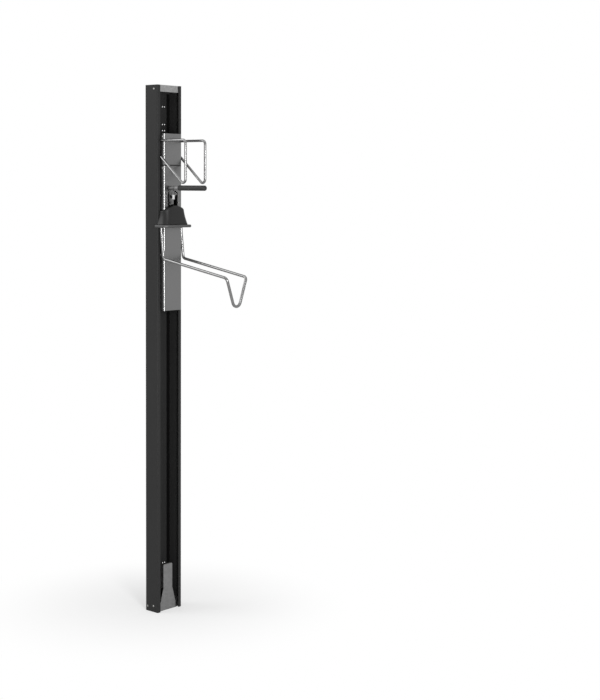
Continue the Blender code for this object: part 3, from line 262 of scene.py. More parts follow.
def loft(bm, sections, strips=False):
    """Adds a skin over equal closed loops in order. An end is one face, or strips from front to back."""
    loops = [[bm.verts.new(point) for point in section] for section in sections]
    for lower, upper in zip(loops, loops[1:]):
        for i in range(len(lower)):
            j = (i + 1) % len(lower)
            bm.faces.new((lower[i], lower[j], upper[j], upper[i]))
    for loop in (loops[0], loops[-1]):
        if strips:
            for i in range(len(loop) // 2 - 1):
                bm.faces.new((loop[i], loop[i + 1], loop[-2 - i], loop[-1 - i]))
        else:
            bm.faces.new(loop)
    return bm


def tube(bm, path, radius, sides=20, edge=0.15):
    """Adds a round rod along a path, with its ends' rims rounded by a share of the radius."""
    points = [Vector(p) for p in path]
    first, last = (points[1] - points[0]).normalized(), (points[-1] - points[-2]).normalized()
    soft = radius * edge
    points = [points[0], points[0] + first * soft * 0.3, points[0] + first * soft] + points[1:-1]
    points += [Vector(path[-1]) - last * soft, Vector(path[-1]) - last * soft * 0.3, Vector(path[-1])]
    shares = [1 - edge, 1 - edge * 0.3, 1] + [1] * (len(points) - 6) + [1, 1 - edge * 0.3, 1 - edge]
    normal = first.orthogonal().normalized()
    sections = []
    for i, point in enumerate(points):
        before, after = points[max(i - 1, 0)], points[min(i + 1, len(points) - 1)]
        tangent = ((point - before).normalized() + (after - point).normalized()).normalized()
        normal = (normal - tangent * normal.dot(tangent)).normalized()
        other = tangent.cross(normal)
        turns = [2 * math.pi * k / sides for k in range(sides)]
        reach = radius * shares[i]
        sections.append([point + (normal * math.cos(a) + other * math.sin(a)) * reach for a in turns])
    return loft(bm, sections)


def piece(name, bm, finish, body, *nodes, edge=0.0, angle=35, cutters=(), segments=2, overlaps=False):
    """Makes a piece that rides on a body and stands for its CAD nodes. Cutters are solids taken out of it."""
    bmesh.ops.recalc_face_normals(bm, faces=bm.faces)
    mesh = bpy.data.meshes.new(name)
    bm.to_mesh(mesh)
    bm.free()
    obj = bpy.data.objects.new(name, mesh)
    bpy.context.scene.collection.objects.link(obj)
    for cutter in cutters:
        carve(obj, cutter, overlaps)
    obj.data.shade_smooth()
    obj.data.set_sharp_from_angle(angle=math.radians(angle))
    if edge:
        soften = obj.modifiers.new("edge", "BEVEL")
        soften.width, soften.segments = edge, segments
        soften.limit_method, soften.angle_limit = "ANGLE", math.radians(40)
        soften.harden_normals = True
    obj.data.materials.append(FINISHES[finish])
    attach(obj, body)
    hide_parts(*nodes)
    return obj


def carve(obj, bm, overlaps):
    """Takes a solid out of a piece. Overlaps says that the piece's own solids meet, and makes them one."""
    bmesh.ops.recalc_face_normals(bm, faces=bm.faces)
    mesh = bpy.data.meshes.new("cutter")
    bm.to_mesh(mesh)
    bm.free()
    helper = bpy.data.objects.new("cutter", mesh)
    bpy.context.scene.collection.objects.link(helper)
    cut = obj.modifiers.new("cut", "BOOLEAN")
    cut.object, cut.operation, cut.solver, cut.use_self = helper, "DIFFERENCE", "EXACT", overlaps
    graph = bpy.context.evaluated_depsgraph_get()
    carved = bpy.data.meshes.new_from_object(obj.evaluated_get(graph))
    obj.modifiers.remove(cut)
    old, obj.data = obj.data, carved
    carved.name = obj.name
    bpy.data.objects.remove(helper, do_unlink=True)
    for spent in (mesh, old):
        bpy.data.meshes.remove(spent)


def drilled(holes, sides=32):
    """One cutter of separate holes, each a (place, axis, radius, half length)."""
    bm = bmesh.new()
    for place, axis, radius, reach in holes:
        lathe(bm, [(0, -reach), (radius, -reach), (radius, reach), (0, reach)], axis, place, sides)
    return bm


# Finishes


class Socket:
    """An output in a material's nodes that takes part in Python expressions."""

    def __init__(self, finish, out):
        self.finish, self.out = finish, out

    def maths(self, operation, first, second):
        return self.finish.node("ShaderNodeMath", {"operation": operation}, {0: first, 1: second})

    def __add__(self, other):
        return self.maths("ADD", self, other)

    def __sub__(self, other):
        return self.maths("SUBTRACT", self, other)

    def __rsub__(self, other):
        return self.maths("SUBTRACT", other, self)

    def __mul__(self, other):
        return self.maths("MULTIPLY", self, other)

    __radd__ = __add__
    __rmul__ = __mul__

    def ramp(self, low, high, start=0.0, end=1.0):
        """Carries low..high smoothly to start..end."""
        settings = {"interpolation_type": "SMOOTHSTEP"}
        return self.finish.node(
            "ShaderNodeMapRange", settings, {"Value": self, 1: low, 2: high, 3: start, 4: end}
        )


class Nodes:
    """A tree of shader nodes, with one method that makes any of them."""

    def __init__(self, tree):
        self.tree = tree

    def node(self, kind, settings, inputs, output=0):
        """A node of one kind: its settings first, then the values or links of its sockets."""
        made = self.tree.nodes.new(kind)
        for key, value in settings.items():
            setattr(made, key, value)
        for key, value in inputs.items():
            self.feed(made.inputs[key], value)
        return Socket(self, made.outputs[output])

    def feed(self, socket, value):
        if isinstance(value, Socket):
            self.tree.links.new(value.out, socket)
        else:
            socket.default_value = value

    def mixed(self, share, first, second):
        return self.node("ShaderNodeMixShader", {}, {0: share, 1: first, 2: second})

    def seen(self):
        """One where the camera sees the surface, straight or in a reflection or through glass."""
        kinds = ("Is Camera Ray", "Is Glossy Ray", "Is Transmission Ray")
        straight, gloss, glass = (self.node("ShaderNodeLightPath", {}, {}, kind) for kind in kinds)
        return (straight + gloss + glass).ramp(0.0, 1.0)


class Finish(Nodes):
    """A material with one Principled shader. Constants go straight on the shader's sockets."""

    def __init__(self, name, **constants):
        self.material = bpy.data.materials.new(name)
        self.material.use_nodes = True
        super().__init__(self.material.node_tree)
        self.shader = self.tree.nodes["Principled BSDF"]
        for socket, value in constants.items():
            self.feed(self.socket(socket), value)
        self.place = self.node("ShaderNodeTexCoord", {}, {}, "Object")

    def socket(self, name):
        """A socket of the shader by its name in lower case with underscores."""
        return next(i for i in self.shader.inputs if i.name.lower().replace(" ", "_") == name)

    def along(self, axis):
        """The place along X, Y or Z."""
        return self.node("ShaderNodeSeparateXYZ", {}, {0: self.place}, axis)

    def stretched(self, across, deep, along):
        return self.node(
            "ShaderNodeVectorMath", {"operation": "MULTIPLY"}, {0: self.place, 1: (across, deep, along)}
        )

    def noise(self, scale, detail=2.0, place=None, roughness=0.5):
        inputs = {"Vector": place or self.place, "Scale": scale, "Detail": detail, "Roughness": roughness}
        return self.node("ShaderNodeTexNoise", {}, inputs, "Fac")

    def cells(self, scale, output="Color"):
        """Voronoi cells' random colour, or the distance to their middles."""
        return self.node("ShaderNodeTexVoronoi", {}, {"Vector": self.place, "Scale": scale}, output)

    def blend(self, share, first, second):
        """A colour between two colours."""
        first, second = [(*c, 1.0) if not isinstance(c, Socket) else c for c in (first, second)]
        return self.node("ShaderNodeMix", {"data_type": "RGBA"}, {0: share, 6: first, 7: second}, 2)

    def shades(self, share, colour, low, high):
        """A colour that runs from low to high times its written brightness."""
        return self.blend(share, [min(c * low, 1) for c in colour], [min(c * high, 1) for c in colour])

    def paint(self, **links):
        for socket, value in links.items():
            self.feed(self.socket(socket), value)
        return self

    def bump(self, height, strength, depth):
        inputs = {"Strength": strength, "Distance": depth, "Height": height}
        self.feed(self.shader.inputs["Normal"], self.node("ShaderNodeBump", {}, inputs, "Normal"))
        return self


def powder_coat(name, colour):
    """Thick matt paint with a fine orange peel, and faint rubbed streaks along the column."""
    made = Finish(name, specular_ior_level=0.1)
    cloud = made.noise(5.0, 3.0)
    peel = made.noise(900.0, 2.0)
    brightened = made.noise(1.0, 4.0, made.stretched(420.0, 420.0, 5.0)).ramp(0.56, 0.74)
    made.paint(
        base_color=made.shades(cloud * 0.8 + brightened * 0.35, colour, 0.92, 1.12),
        roughness=0.43 + cloud * 0.1 - brightened * 0.06,
    )
    return made.bump(peel, 0.22, 0.0002)


def satin_sheet(name, colour, brightened=None, highlight_colour=None, hollow=None):
    """Rolled sheet with a fine upright grain. A brightened share takes a painted highlight in the highlight
    colour, and a hollow share is painted black as shade.
    """
    made = Finish(name, metallic=1.0)
    grain = made.noise(1.0, 4.0, made.stretched(2400.0, 2400.0, 26.0), 0.65)
    cloud = made.noise(9.0, 3.0)
    mix = grain * 0.6 + cloud * 0.4
    shade, rough = made.shades(mix, colour, 0.86, 1.1), 0.3 + mix * 0.12
    # Painted highlight: the brightened share is blended towards the highlight colour
    if brightened:
        share = brightened(made)
        shade, rough = made.blend(share * (0.7 + cloud * 0.4), shade, highlight_colour), rough - share * 0.05
    # Painted shade: the hollow share is made nearly black
    if hollow:
        shade = made.blend(hollow(made), shade, (0.004, 0.004, 0.004))
    return made.paint(base_color=shade, roughness=rough).bump(grain, 0.012, 0.0002)


def fold_highlight(bend):
    """The share along the covers' front folds that takes a painted highlight, in place of the light that the
    bends catch.
    """

    def brightened(made):
        across = made.along("X")
        side = (across * across).ramp((COVER_HIGH.x - bend) ** 2, (COVER_HIGH.x - bend * 0.6) ** 2)
        return side * made.along("Y").ramp(COVER_LOW.y + bend * 0.4, COVER_LOW.y + bend * 0.15)

    return brightened


def nose_highlight(made):
    """The share on the lower part of the lever plate's nose that takes a painted highlight, in place of the
    light that its front edge catches.
    """
    top, foot, fade = CARRIAGE_TOP - 0.2105, CARRIAGE_TOP - 0.2275, 0.002
    back, front = COLUMN_LOW.y - 0.0350, COLUMN_LOW.y - 0.0362
    height = made.along("Z")
    nose = height.ramp(top, top - fade) * height.ramp(foot, foot + fade)
    return nose * made.along("Y").ramp(back, front)


def eye_bore_shade(radius):
    """The share that lies in the bore of the lever plate's eye, painted black as shade."""
    margin = 0.0003

    def bore(made):
        ahead, height = made.along("Y") - EYE.y, made.along("Z") - EYE.z
        # Painted shade: the bore is coloured black in place of its shadow
        return (ahead * ahead + height * height).ramp((radius + 2 * margin) ** 2, (radius + margin) ** 2)

    return bore


def zinc_sheet(name, colour, scale=140.0, roughness=0.36):
    """Zinc-coated steel with soft crystals."""
    made = Finish(name, metallic=0.9)
    crystals = made.cells(scale)
    shade = made.node("ShaderNodeSeparateColor", {}, {0: crystals}, "Red")
    fine = made.noise(1500.0)
    made.paint(
        base_color=made.shades(shade * 0.7 + fine * 0.3, colour, 0.86, 1.12),
        roughness=roughness + shade * 0.12,
    )
    return made.bump(fine, 0.05, 0.0001)


def bright_metal(name, colour, roughness=0.18, scale=700.0):
    """Drawn and plated steel, nearly a mirror, with a faint haze."""
    made = Finish(name, metallic=1.0)
    haze = made.noise(scale, 3.0)
    cloud = made.noise(24.0, 2.0)
    made.paint(
        base_color=made.shades(cloud, colour, 0.93, 1.05),
        roughness=roughness + haze * 0.04,
    )
    return made.bump(haze, 0.006, 0.0001)


def moulded(name, colour, roughness=0.4, grain=1300.0, depth=0.35, gloss=0.35):
    """Moulded polymer or rubber with a fine stipple."""
    made = Finish(name, specular_ior_level=gloss)
    stipple = made.cells(grain, "Distance")
    cloud = made.noise(12.0, 3.0)
    made.paint(
        base_color=made.shades(cloud, colour, 0.85, 1.2),
        roughness=roughness + cloud * 0.08 - stipple * 0.05,
    )
    return made.bump(stipple, depth, 0.0002)


def painted_steel(name, colour, roughness=0.4, metallic=0.0):
    """Thin paint or blackening on plain steel, with the odd lighter fleck."""
    made = Finish(name, metallic=metallic)
    cloud = made.noise(16.0, 4.0)
    fleck = made.noise(520.0, 1.0).ramp(0.7, 0.78)
    made.paint(
        base_color=made.shades(cloud * 0.7 + fleck * 0.5, colour, 0.9, 1.25),
        roughness=roughness + cloud * 0.1,
    )
    return made.bump(made.noise(1100.0), 0.08, 0.0001)


# Finishes by name, and the record's slots of those that share one
FINISHES = {}
# CAD nodes given a black finish as painted shade: the lever pin, seen through the covers' sight holes, is
# made black so that the holes read dark
PAINTED_SHADE_NODES = {"lever_pin": "black_plastic"}


def make_finishes(colours, bend, eye):
    """A material for each of the record's slots, and for pieces that share a slot but not a finish."""
    made = {
        "anthracite_coat": powder_coat("anthracite_coat", colours.coat),
        "silver_sheet": satin_sheet("silver_sheet", colours.cover),
        # The covers' front folds take a painted highlight
        "folded_sheet": satin_sheet("folded_sheet", colours.cover, fold_highlight(bend), colours.highlight_colour),
        # The lever plate's nose takes a painted highlight in light grey, and its eye's bore painted black
        # shade
        "lever_sheet": satin_sheet("lever_sheet", colours.lever, nose_highlight, (0.8, 0.8, 0.8), eye_bore_shade(eye)),
        "cap_sheet": zinc_sheet("cap_sheet", colours.cap),
        "plate_sheet": zinc_sheet("plate_sheet", colours.plate, 300.0, 0.55),
        "galvanised_sheet": zinc_sheet("galvanised_sheet", colours.foot),
        "dark_steel": painted_steel("dark_steel", (0.02, 0.02, 0.02), 0.5, 0.2),
        "dull_rod": zinc_sheet("dull_rod", colours.lever_rod, 600.0, 0.5),
        "bright_rod": bright_metal("bright_rod", colours.rod, 0.22),
        "zinc_fastener": zinc_sheet("zinc_fastener", (0.32, 0.32, 0.31), 900.0),
        "dull_fastener": zinc_sheet("dull_fastener", (0.16, 0.16, 0.16), 900.0, 0.5),
        "bearing_steel": bright_metal("bearing_steel", (0.62, 0.62, 0.62), 0.2),
        "chromed_rod": bright_metal("chromed_rod", (0.74, 0.74, 0.75), 0.07, 300.0),
        "black_paint": painted_steel("black_paint", (0.018, 0.018, 0.018), 0.28),
        "black_plastic": moulded("black_plastic", colours.plastic, 0.5, 1600.0, 0.15, 0.1),
        "moulded_black": moulded("moulded_black", colours.moulding, roughness=0.44, gloss=0.34),
        "grip_rubber": moulded("grip_rubber", colours.rubber, 0.58, 1000.0),
        "brake_rubber": moulded("brake_rubber", (0.03, 0.029, 0.028), 0.7, 800.0),
        "roller_plastic": moulded("roller_plastic", (0.62, 0.61, 0.58), 0.42, 2200.0, 0.08),
    }
    FINISHES.update({slot: finish.material for slot, finish in made.items()})


# Operators


class LIFT_OT_finishes(bpy.types.Operator):
    """Makes the materials and puts them on the CAD nodes by their slots"""

    bl_idname = "lift.finishes"
    bl_label = "Finishes"

    def execute(self, context):
        scene = context.scene
        make_finishes(scene.lift_colours, scene.lift_carriage.cover_bend, scene.lift_lever.eye)
        for part in frame["record"]["subparts"]:
            for holder in frame["nodes"][part["node"]].material_slots:
                holder.link = "OBJECT"
                # The lever pin takes a black finish as painted shade instead of its slot's
                holder.material = FINISHES[PAINTED_SHADE_NODES.get(part["node"], part["material_slot"])]
        return {"FINISHED"}


class LIFT_OT_column(bpy.types.Operator):
    """Rolls the column: a C-section with two front lips and fixing holes in its back"""

    bl_idname = "lift.column"
    bl_label = "Column"

    def execute(self, context):
        sizes = context.scene.lift_column
        half, front, back = COLUMN_HIGH.x, COLUMN_LOW.y, COLUMN_HIGH.y
        lip = sizes.slot / 2
        corners = [(-lip, front), (-half, front), (-half, back), (half, back), (half, front), (lip, front)]
        outline = folded(corners, sizes.bend, sizes.sheet)
        shell = prism(bmesh.new(), outline, COLUMN_LOW.z, COLUMN_HIGH.z)
        reach = sizes.sheet * 3
        row_drops, row_places = (0.071, 0.1325, 0.154), (0.0335, 0.0235)
        mark_place, mark_height = 0.0285, COLUMN_HIGH.z - 0.040
        holes = []
        for _, sign in SIDES:
            for drop in row_drops:
                for x in row_places:
                    for z in (COLUMN_HIGH.z - drop, COLUMN_LOW.z + drop):
                        holes.append(((sign * x, back, z), "Y", sizes.hole, reach))
            mark = (sign * mark_place, back - sizes.sheet - reach + sizes.mark_depth, mark_height)
            holes.append((mark, "Y", sizes.hanging_mark, reach))
        piece(
            "rolled_column", shell, "anthracite_coat", "column", "column_profile",
            edge=0.0004, cutters=[drilled(holes)],
        )
        return {"FINISHED"}


class LIFT_OT_brackets(bpy.types.Operator):
    """Folds the cap at the column's top and the foot bracket with its flared plate"""

    bl_idname = "lift.brackets"
    bl_label = "Brackets"

    def execute(self, context):
        sizes = context.scene.lift_column
        low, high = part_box("top_bracket")
        sheet, inset, tab = sizes.bracket, sizes.bracket / 2, 0.034
        corners = [(high.x, low.y + tab), (high.x, low.y), (low.x, low.y), (low.x, low.y + tab)]
        cap = prism(bmesh.new(), folded(corners, sheet * 1.5, sheet), high.z - sizes.cap, high.z)
        block(cap, (low.x + inset, low.y + inset, high.z - sheet), (high.x - inset, high.y, high.z - HAIR))
        piece("column_cap", cap, "cap_sheet", "column", "top_bracket", edge=0.0005)

        low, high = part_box("foot_bracket")
        base, neck, straight, flare = 0.0385, 0.0215, 0.022, 0.078
        neck_return, top_return = 0.020, 0.012
        waist = (neck + (base - neck) * 0.72, straight + (flare - straight) * 0.22)
        right = [(base, 0), (base, straight), waist, (neck, flare)]
        right += [(neck, sizes.foot - sheet), (neck - sheet, sizes.foot)]
        right = filleted(right, sheet * 1.5, 6)
        outline = [(x, low.z + z) for x, z in right + [(-x, z) for x, z in reversed(right)]]
        foot = prism(bmesh.new(), outline, low.y, low.y + sheet, "Y")
        inside, shoulder = low.y + inset, low.z + sizes.foot - sheet
        block(foot, (low.x + inset, inside, low.z + HAIR), (high.x - inset, high.y, low.z + sheet))
        for _, sign in SIDES:
            near, far = sorted((sign * high.x, sign * (high.x - sheet)))
            block(foot, (near, inside + sheet, low.z + inset), (far, high.y - inset, low.z + tab))
            near, far = sorted((sign * (neck - HAIR), sign * (neck - sheet)))
            block(foot, (near, inside, low.z + flare), (far, low.y + neck_return, shoulder))
        lip = neck - sheet - 2 * HAIR
        block(foot, (-lip, inside, shoulder), (lip, low.y + top_return, low.z + sizes.foot - HAIR))
        piece("flared_foot", foot, "galvanised_sheet", "column", "foot_bracket", edge=0.0005)
        return {"FINISHED"}


class LIFT_OT_covers(bpy.types.Operator):
    """Folds the carriage's two covers and cuts the arched window that the lever comes out of"""

    bl_idname = "lift.covers"
    bl_label = "Covers"

    def execute(self, context):
        sizes = context.scene.lift_carriage
        low, high = COVER_LOW, COVER_HIGH
        corners = [(high.x, high.y), (high.x, low.y), (low.x, low.y), (low.x, high.y)]
        outline = folded(corners, sizes.cover_bend, sizes.cover_sheet)
        upper_low, upper_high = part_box("upper_cover")
        upper = prism(bmesh.new(), outline, upper_low.z + sizes.joint, upper_high.z)
        piece("upper_panel", upper, "folded_sheet", "carriage", "upper_cover", edge=0.00035)
        main = prism(bmesh.new(), outline, low.z, high.z - sizes.joint)
        half, top, foot, bow = sizes.window / 2, CARRIAGE_TOP - 0.197, CARRIAGE_TOP - 0.255, 0.012
        arch = mirrored([(-half, foot)] + arc((-half + bow, top - bow), bow, 180, 90, 14))
        radius, reach, past = 0.0042, 0.006, 0.01
        window = prism(bmesh.new(), arch, low.y - past, low.y + past, "Y")
        sight = [(on_carriage(sign * high.x, PIN_AHEAD, PIN_DROP), "X", radius, reach) for _, sign in SIDES]
        piece(
            "main_panel", main, "folded_sheet", "carriage", "main_cover",
            edge=0.00035, cutters=[window, drilled(sight)],
        )
        return {"FINISHED"}


class LIFT_OT_rods(bpy.types.Operator):
    """Bends the two side guides and the wheel cradle from round rod"""

    bl_idname = "lift.rods"
    bl_label = "Guides and cradle"

    def execute(self, context):
        sizes = context.scene.lift_carriage
        half = COVER_HIGH.x
        back, reach, top, tip, foot = 0.007, 0.127, 0.0245, 0.1835, 0.0805
        for side, sign in SIDES:
            x = sign * (half + sizes.guide_wire + SEAT)
            corners = [(back, top), (reach, top), (reach, tip), (back, foot)]
            path = filleted([on_carriage(x, ahead, drop) for ahead, drop in corners], 0.012, 14)
            loop = tube(bmesh.new(), path, sizes.guide_wire, 24)
            piece(f"guide_loop_{side}", loop, "bright_rod", "carriage", f"side_guide_{side}")
        x = half + sizes.cradle_rod + CRADLE_GAP
        slant, curve = 19.6, 0.0188
        lean = math.radians(slant)
        reach, fall, knee = 0.32349, 0.0535, 0.4325
        vee = knee + fall + x / math.tan(lean)
        side = [(x, LEG_AHEAD, LEG_DROP), (x, LEG_AHEAD, 0.336), (x, 0.0195, knee)]
        side += [(x, reach, knee + fall), (0, reach, vee)]
        side = filleted([(-x, ahead, drop) for x, ahead, drop in side], 0.014, 12)[:-1]
        centre = vee - curve / math.sin(lean)
        bottom = arc((0, -centre), curve, 180 + slant, 360 - slant, 28)
        path = side + [(x, reach, -z) for x, z in bottom]
        path += [(-x, ahead, drop) for x, ahead, drop in reversed(side)]
        cradle = tube(bmesh.new(), [on_carriage(*p) for p in path], sizes.cradle_rod, 24)
        piece("cradle_rod", cradle, "bright_rod", "carriage", "wheel_cradle")
        return {"FINISHED"}


class LIFT_OT_buffer(bpy.types.Operator):
    """Moulds the tyre buffer and makes the thick plate under it"""

    bl_idname = "lift.buffer"
    bl_label = "Buffer"

    def level(self, sizes, width, reach, inset, drop, crown):
        """One level of the buffer: straight at the back, with two round front corners."""
        half = width / 2 - inset
        corner = max(sizes.buffer_corner - inset, sizes.buffer_corner / 2)
        back, front = -SLIDE_PLAY - inset, -reach + inset
        left = arc((-half + corner, front + corner), corner, 180, 270, 12)
        left += [(x * (half - corner), front) for x in (-0.8, -0.6, -0.4, -0.2)]
        out = mirrored(left)
        loop = out + [(x, back) for x, _ in reversed(out)]
        return [on_carriage(x, -y, drop - crown * (1 - (x / half) ** 2)) for x, y in loop]

    def execute(self, context):
        sizes = context.scene.lift_carriage
        top, tall, edge = 0.265, 0.0495, 0.005
        narrow, wide, near, far = 0.100, 0.119, 0.033, 0.042
        flare, count = 1.8, 12
        foot = top + tall
        levels = []
        for inset, rise in ((0.0012, 0.0), (0.0004, 0.0004), (0.0, 0.0012)):
            levels.append(self.level(sizes, wide, far, inset, foot - rise, 0))
        for i in range(1, count):
            share = i / (count - 1)
            width = narrow + (wide - narrow) * (1 - share) ** flare
            reach = near + (far - near) * (1 - share)
            drop = foot - (tall - edge) * share
            levels.append(self.level(sizes, width, reach, 0, drop, sizes.buffer_crown * share))
        for i in range(1, 6):
            angle = math.pi / 10 * i
            inset = edge * (1 - math.cos(angle))
            drop = top + edge * (1 - math.sin(angle))
            levels.append(self.level(sizes, narrow, near, inset, drop, sizes.buffer_crown))
        gap, face, back = COVER_HIGH.x + SEAT, COVER_LOW.y - SEAT, COVER_HIGH.y
        above, below = 0.20, 0.40
        hollow = block(bmesh.new(), (-gap, face, CARRIAGE_TOP - below), (gap, back, CARRIAGE_TOP - above))
        leg_half = COVER_HIGH.x + CRADLE_GAP + 2 * sizes.cradle_rod + SEAT
        leg_reach = LEG_AHEAD + sizes.cradle_rod + SEAT
        leg_low = on_carriage(-leg_half, leg_reach, below)
        legs = block(bmesh.new(), leg_low, (leg_half, back, CARRIAGE_TOP - LEG_DROP + SEAT))
        skin = loft(bmesh.new(), levels, strips=True)
        bmesh.ops.triangulate(skin, faces=skin.faces)
        piece(
            "moulded_buffer", skin, "moulded_black", "carriage", "tyre_buffer",
            angle=50, cutters=[hollow, legs],
        )
        low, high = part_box("buffer_plate")
        corner, small = 0.020, 0.010
        front = arc((low.x + corner, low.y + corner), corner, 180, 270, 12)
        rear = arc((low.x + small, high.y - small), small, 90, 180, 5)
        plate = prism(bmesh.new(), mirrored(rear + front), low.z, high.z)
        rims = [e for e in plate.edges if abs(e.verts[0].co.z - e.verts[1].co.z) < 1e-6]
        bmesh.ops.bevel(plate, geom=rims, offset=sizes.plate_edge, segments=5, profile=0.5, affect="EDGES")
        past = high.z - low.z
        side = COLUMN_HIGH.x + PLATE_PLAY
        neighbours = ((side, COLUMN_LOW.y - SLIDE_PLAY), (gap, face), (leg_half, leg_low.y))
        notches = []
        for half, ahead in neighbours:
            corner = (half, high.y + past, high.z + past)
            notches.append(block(bmesh.new(), (-half, ahead, low.z - past), corner))
        piece(
            "thick_plate", plate, "plate_sheet", "carriage", "buffer_plate",
            edge=0.0003, angle=40, cutters=notches,
        )
        return {"FINISHED"}


class LIFT_OT_lever(bpy.types.Operator):
    """Cuts the lever's plate with its eye, hub and tail, and makes its rod and grip"""

    bl_idname = "lift.lever"
    bl_label = "Lever"

    def execute(self, context):
        sizes = context.scene.lift_lever
        pivot = on_carriage(0, PIN_AHEAD, PIN_DROP)
        handle, low = 0.1875, LEVER_X - sizes.sheet / 2
        cover = COLUMN_LOW.y - COVER_LOW.y + 0.0015
        top = handle + sizes.rod + SEAT
        snout, chin, step = 0.041, 0.036, top + 0.034
        nose = [(cover, top), (snout, top), (snout, step), (chin, step)]
        outline = [(PIN_AHEAD, 0.2039), (cover, 0.2039)] + filleted(nose, 0.0045, 10)
        outline += [(chin, 0.2435), (0.0099, 0.2481), (-0.0006, PIN_DROP)]
        outline = [tuple(on_carriage(0, ahead, drop))[1:] for ahead, drop in outline]
        plate = prism(bmesh.new(), outline, low, low + sizes.sheet, "X")
        hub, half = 0.0062, 0.0363
        lathe(plate, [(0, -half), (hub, -half), (hub, half), (0, half)], "X", pivot)
        tail = [(0.0, -0.006), (0.0527, 0.0044), (0.0527, 0.0164), (0.0, 0.006)]
        tail = [(pivot.y + back, pivot.z + rise) for back, rise in tail]
        prism(plate, tail, 0.006, 0.011, "X")
        block(plate, pivot + Vector((0.0005, 0.0524, 0.0004)), pivot + Vector((0.0165, 0.0554, 0.0204)))
        eye = drilled([(EYE, "X", sizes.eye, 0.01)], 40)
        piece(
            "eye_plate", plate, "lever_sheet", "release_lever", "lever_plate",
            edge=0.0006, cutters=[eye], segments=3, overlaps=True,
        )
        corners = [(LEVER_X, cover), (LEVER_X, 0.046), (GRIP_X, 0.078), (GRIP_X, 0.2147)]
        path = filleted([on_carriage(x, ahead, handle) for x, ahead in corners], 0.016, 12)
        piece("jogged_rod", tube(bmesh.new(), path, sizes.rod, 28), "dull_rod", "release_lever", "lever_rod")
        reach, bore, skin = 0.12699, sizes.rod + SEAT, sizes.grip
        profile = [(0, reach - 0.006), (bore, reach - 0.006), (bore, 0), (skin - 0.0008, 0), (skin, 0.0008)]
        profile += [(skin, 0.004), (skin - 0.0004, 0.0046), (skin - 0.0004, 0.0054), (skin, 0.006)]
        dome = 0.0045
        for i in range(9):
            angle = math.pi / 16 * i
            shrink = (skin - dome) + dome * math.cos(angle)
            profile.append((shrink, reach - dome + dome * math.sin(angle)))
        profile.append((0, reach))
        place = on_carriage(GRIP_X, 0.094, handle)
        grip = lathe(bmesh.new(), [(r, -along) for r, along in profile], "Y", place)
        piece("rubber_grip", grip, "grip_rubber", "release_lever", "lever_grip", angle=50)
        return {"FINISHED"}


class LIFT_OT_fasteners(bpy.types.Operator):
    """Makes the socket screws of the brackets and the window, and the blind rivets of the covers"""

    bl_idname = "lift.fasteners"
    bl_label = "Fasteners"

    def rim(self, angle, reach, socket):
        """A place on a circle by its angle in degrees, or on a hexagon with its corners at the reach."""
        if socket:
            reach *= math.cos(math.pi / 6) / math.cos(math.radians(angle % 60 - 30))
        return reach * math.cos(math.radians(angle)), reach * math.sin(math.radians(angle))

    def fastener(self, node, body, axis, sign, rivet, finish="zinc_fastener"):
        """One screw or rivet in the place of its node, with its head at the sign's end of the axis."""
        low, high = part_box(node)
        along, across = ("X", "Y").index(axis), 2
        middle = (low + high) / 2
        radius = (high[across] - low[across]) / 2
        tall, shank = (0.0012 if rivet else 0.0022), 0.0020
        middle[along] = high[along] - tall if sign > 0 else low[along] + tall
        deep = high[along] - low[along] - tall
        profile = [(shank * 0.8, -deep), (shank, -deep + shank * 0.3), (shank, 0), (radius, 0)]
        if rivet:
            profile += [(radius, tall * 0.2), (radius * 0.92, tall * 0.55), (radius * 0.7, tall * 0.85)]
            profile += [(radius * 0.42, tall), (radius * 0.36, tall * 0.8), (radius * 0.3, tall * 0.55)]
            profile += [(radius * 0.12, tall * 0.7), (0, tall * 0.72)]
            head = lathe(bmesh.new(), [(r, sign * v) for r, v in [(0, -deep)] + profile], axis, middle, 36)
        else:
            profile += [(radius, tall * 0.35), (radius * 0.96, tall * 0.6), (radius * 0.85, tall * 0.85)]
            profile += [(radius * 0.68, tall), (radius * 0.42, tall), (radius * 0.42, tall * 0.3)]
            sections = []
            for i, (reach, v) in enumerate(profile):
                socket = i > len(profile) - 3
                spots = [self.rim(angle, reach, socket) for angle in range(0, 360, 10)]
                sections.append([middle + Vector(turn_to(axis, x, y, sign * v)) for x, y in spots])
            head = loft(bmesh.new(), sections)
        piece(f"{node}_head", head, finish, body, node, angle=40)

    def execute(self, context):
        for side, sign in SIDES:
            for name in ("top_screw", "foot_screw", "foot_rear_screw"):
                self.fastener(f"{name}_{side}", "column", "X", sign, False)
            for name in ("upper", "middle", "lower"):
                self.fastener(f"{name}_cover_rivet_{side}", "carriage", "X", sign, True)
            finish = "dull_fastener" if sign < 0 else "zinc_fastener"
            self.fastener(f"window_screw_{side}", "carriage", "Y", -1, False, finish)
        return {"FINISHED"}


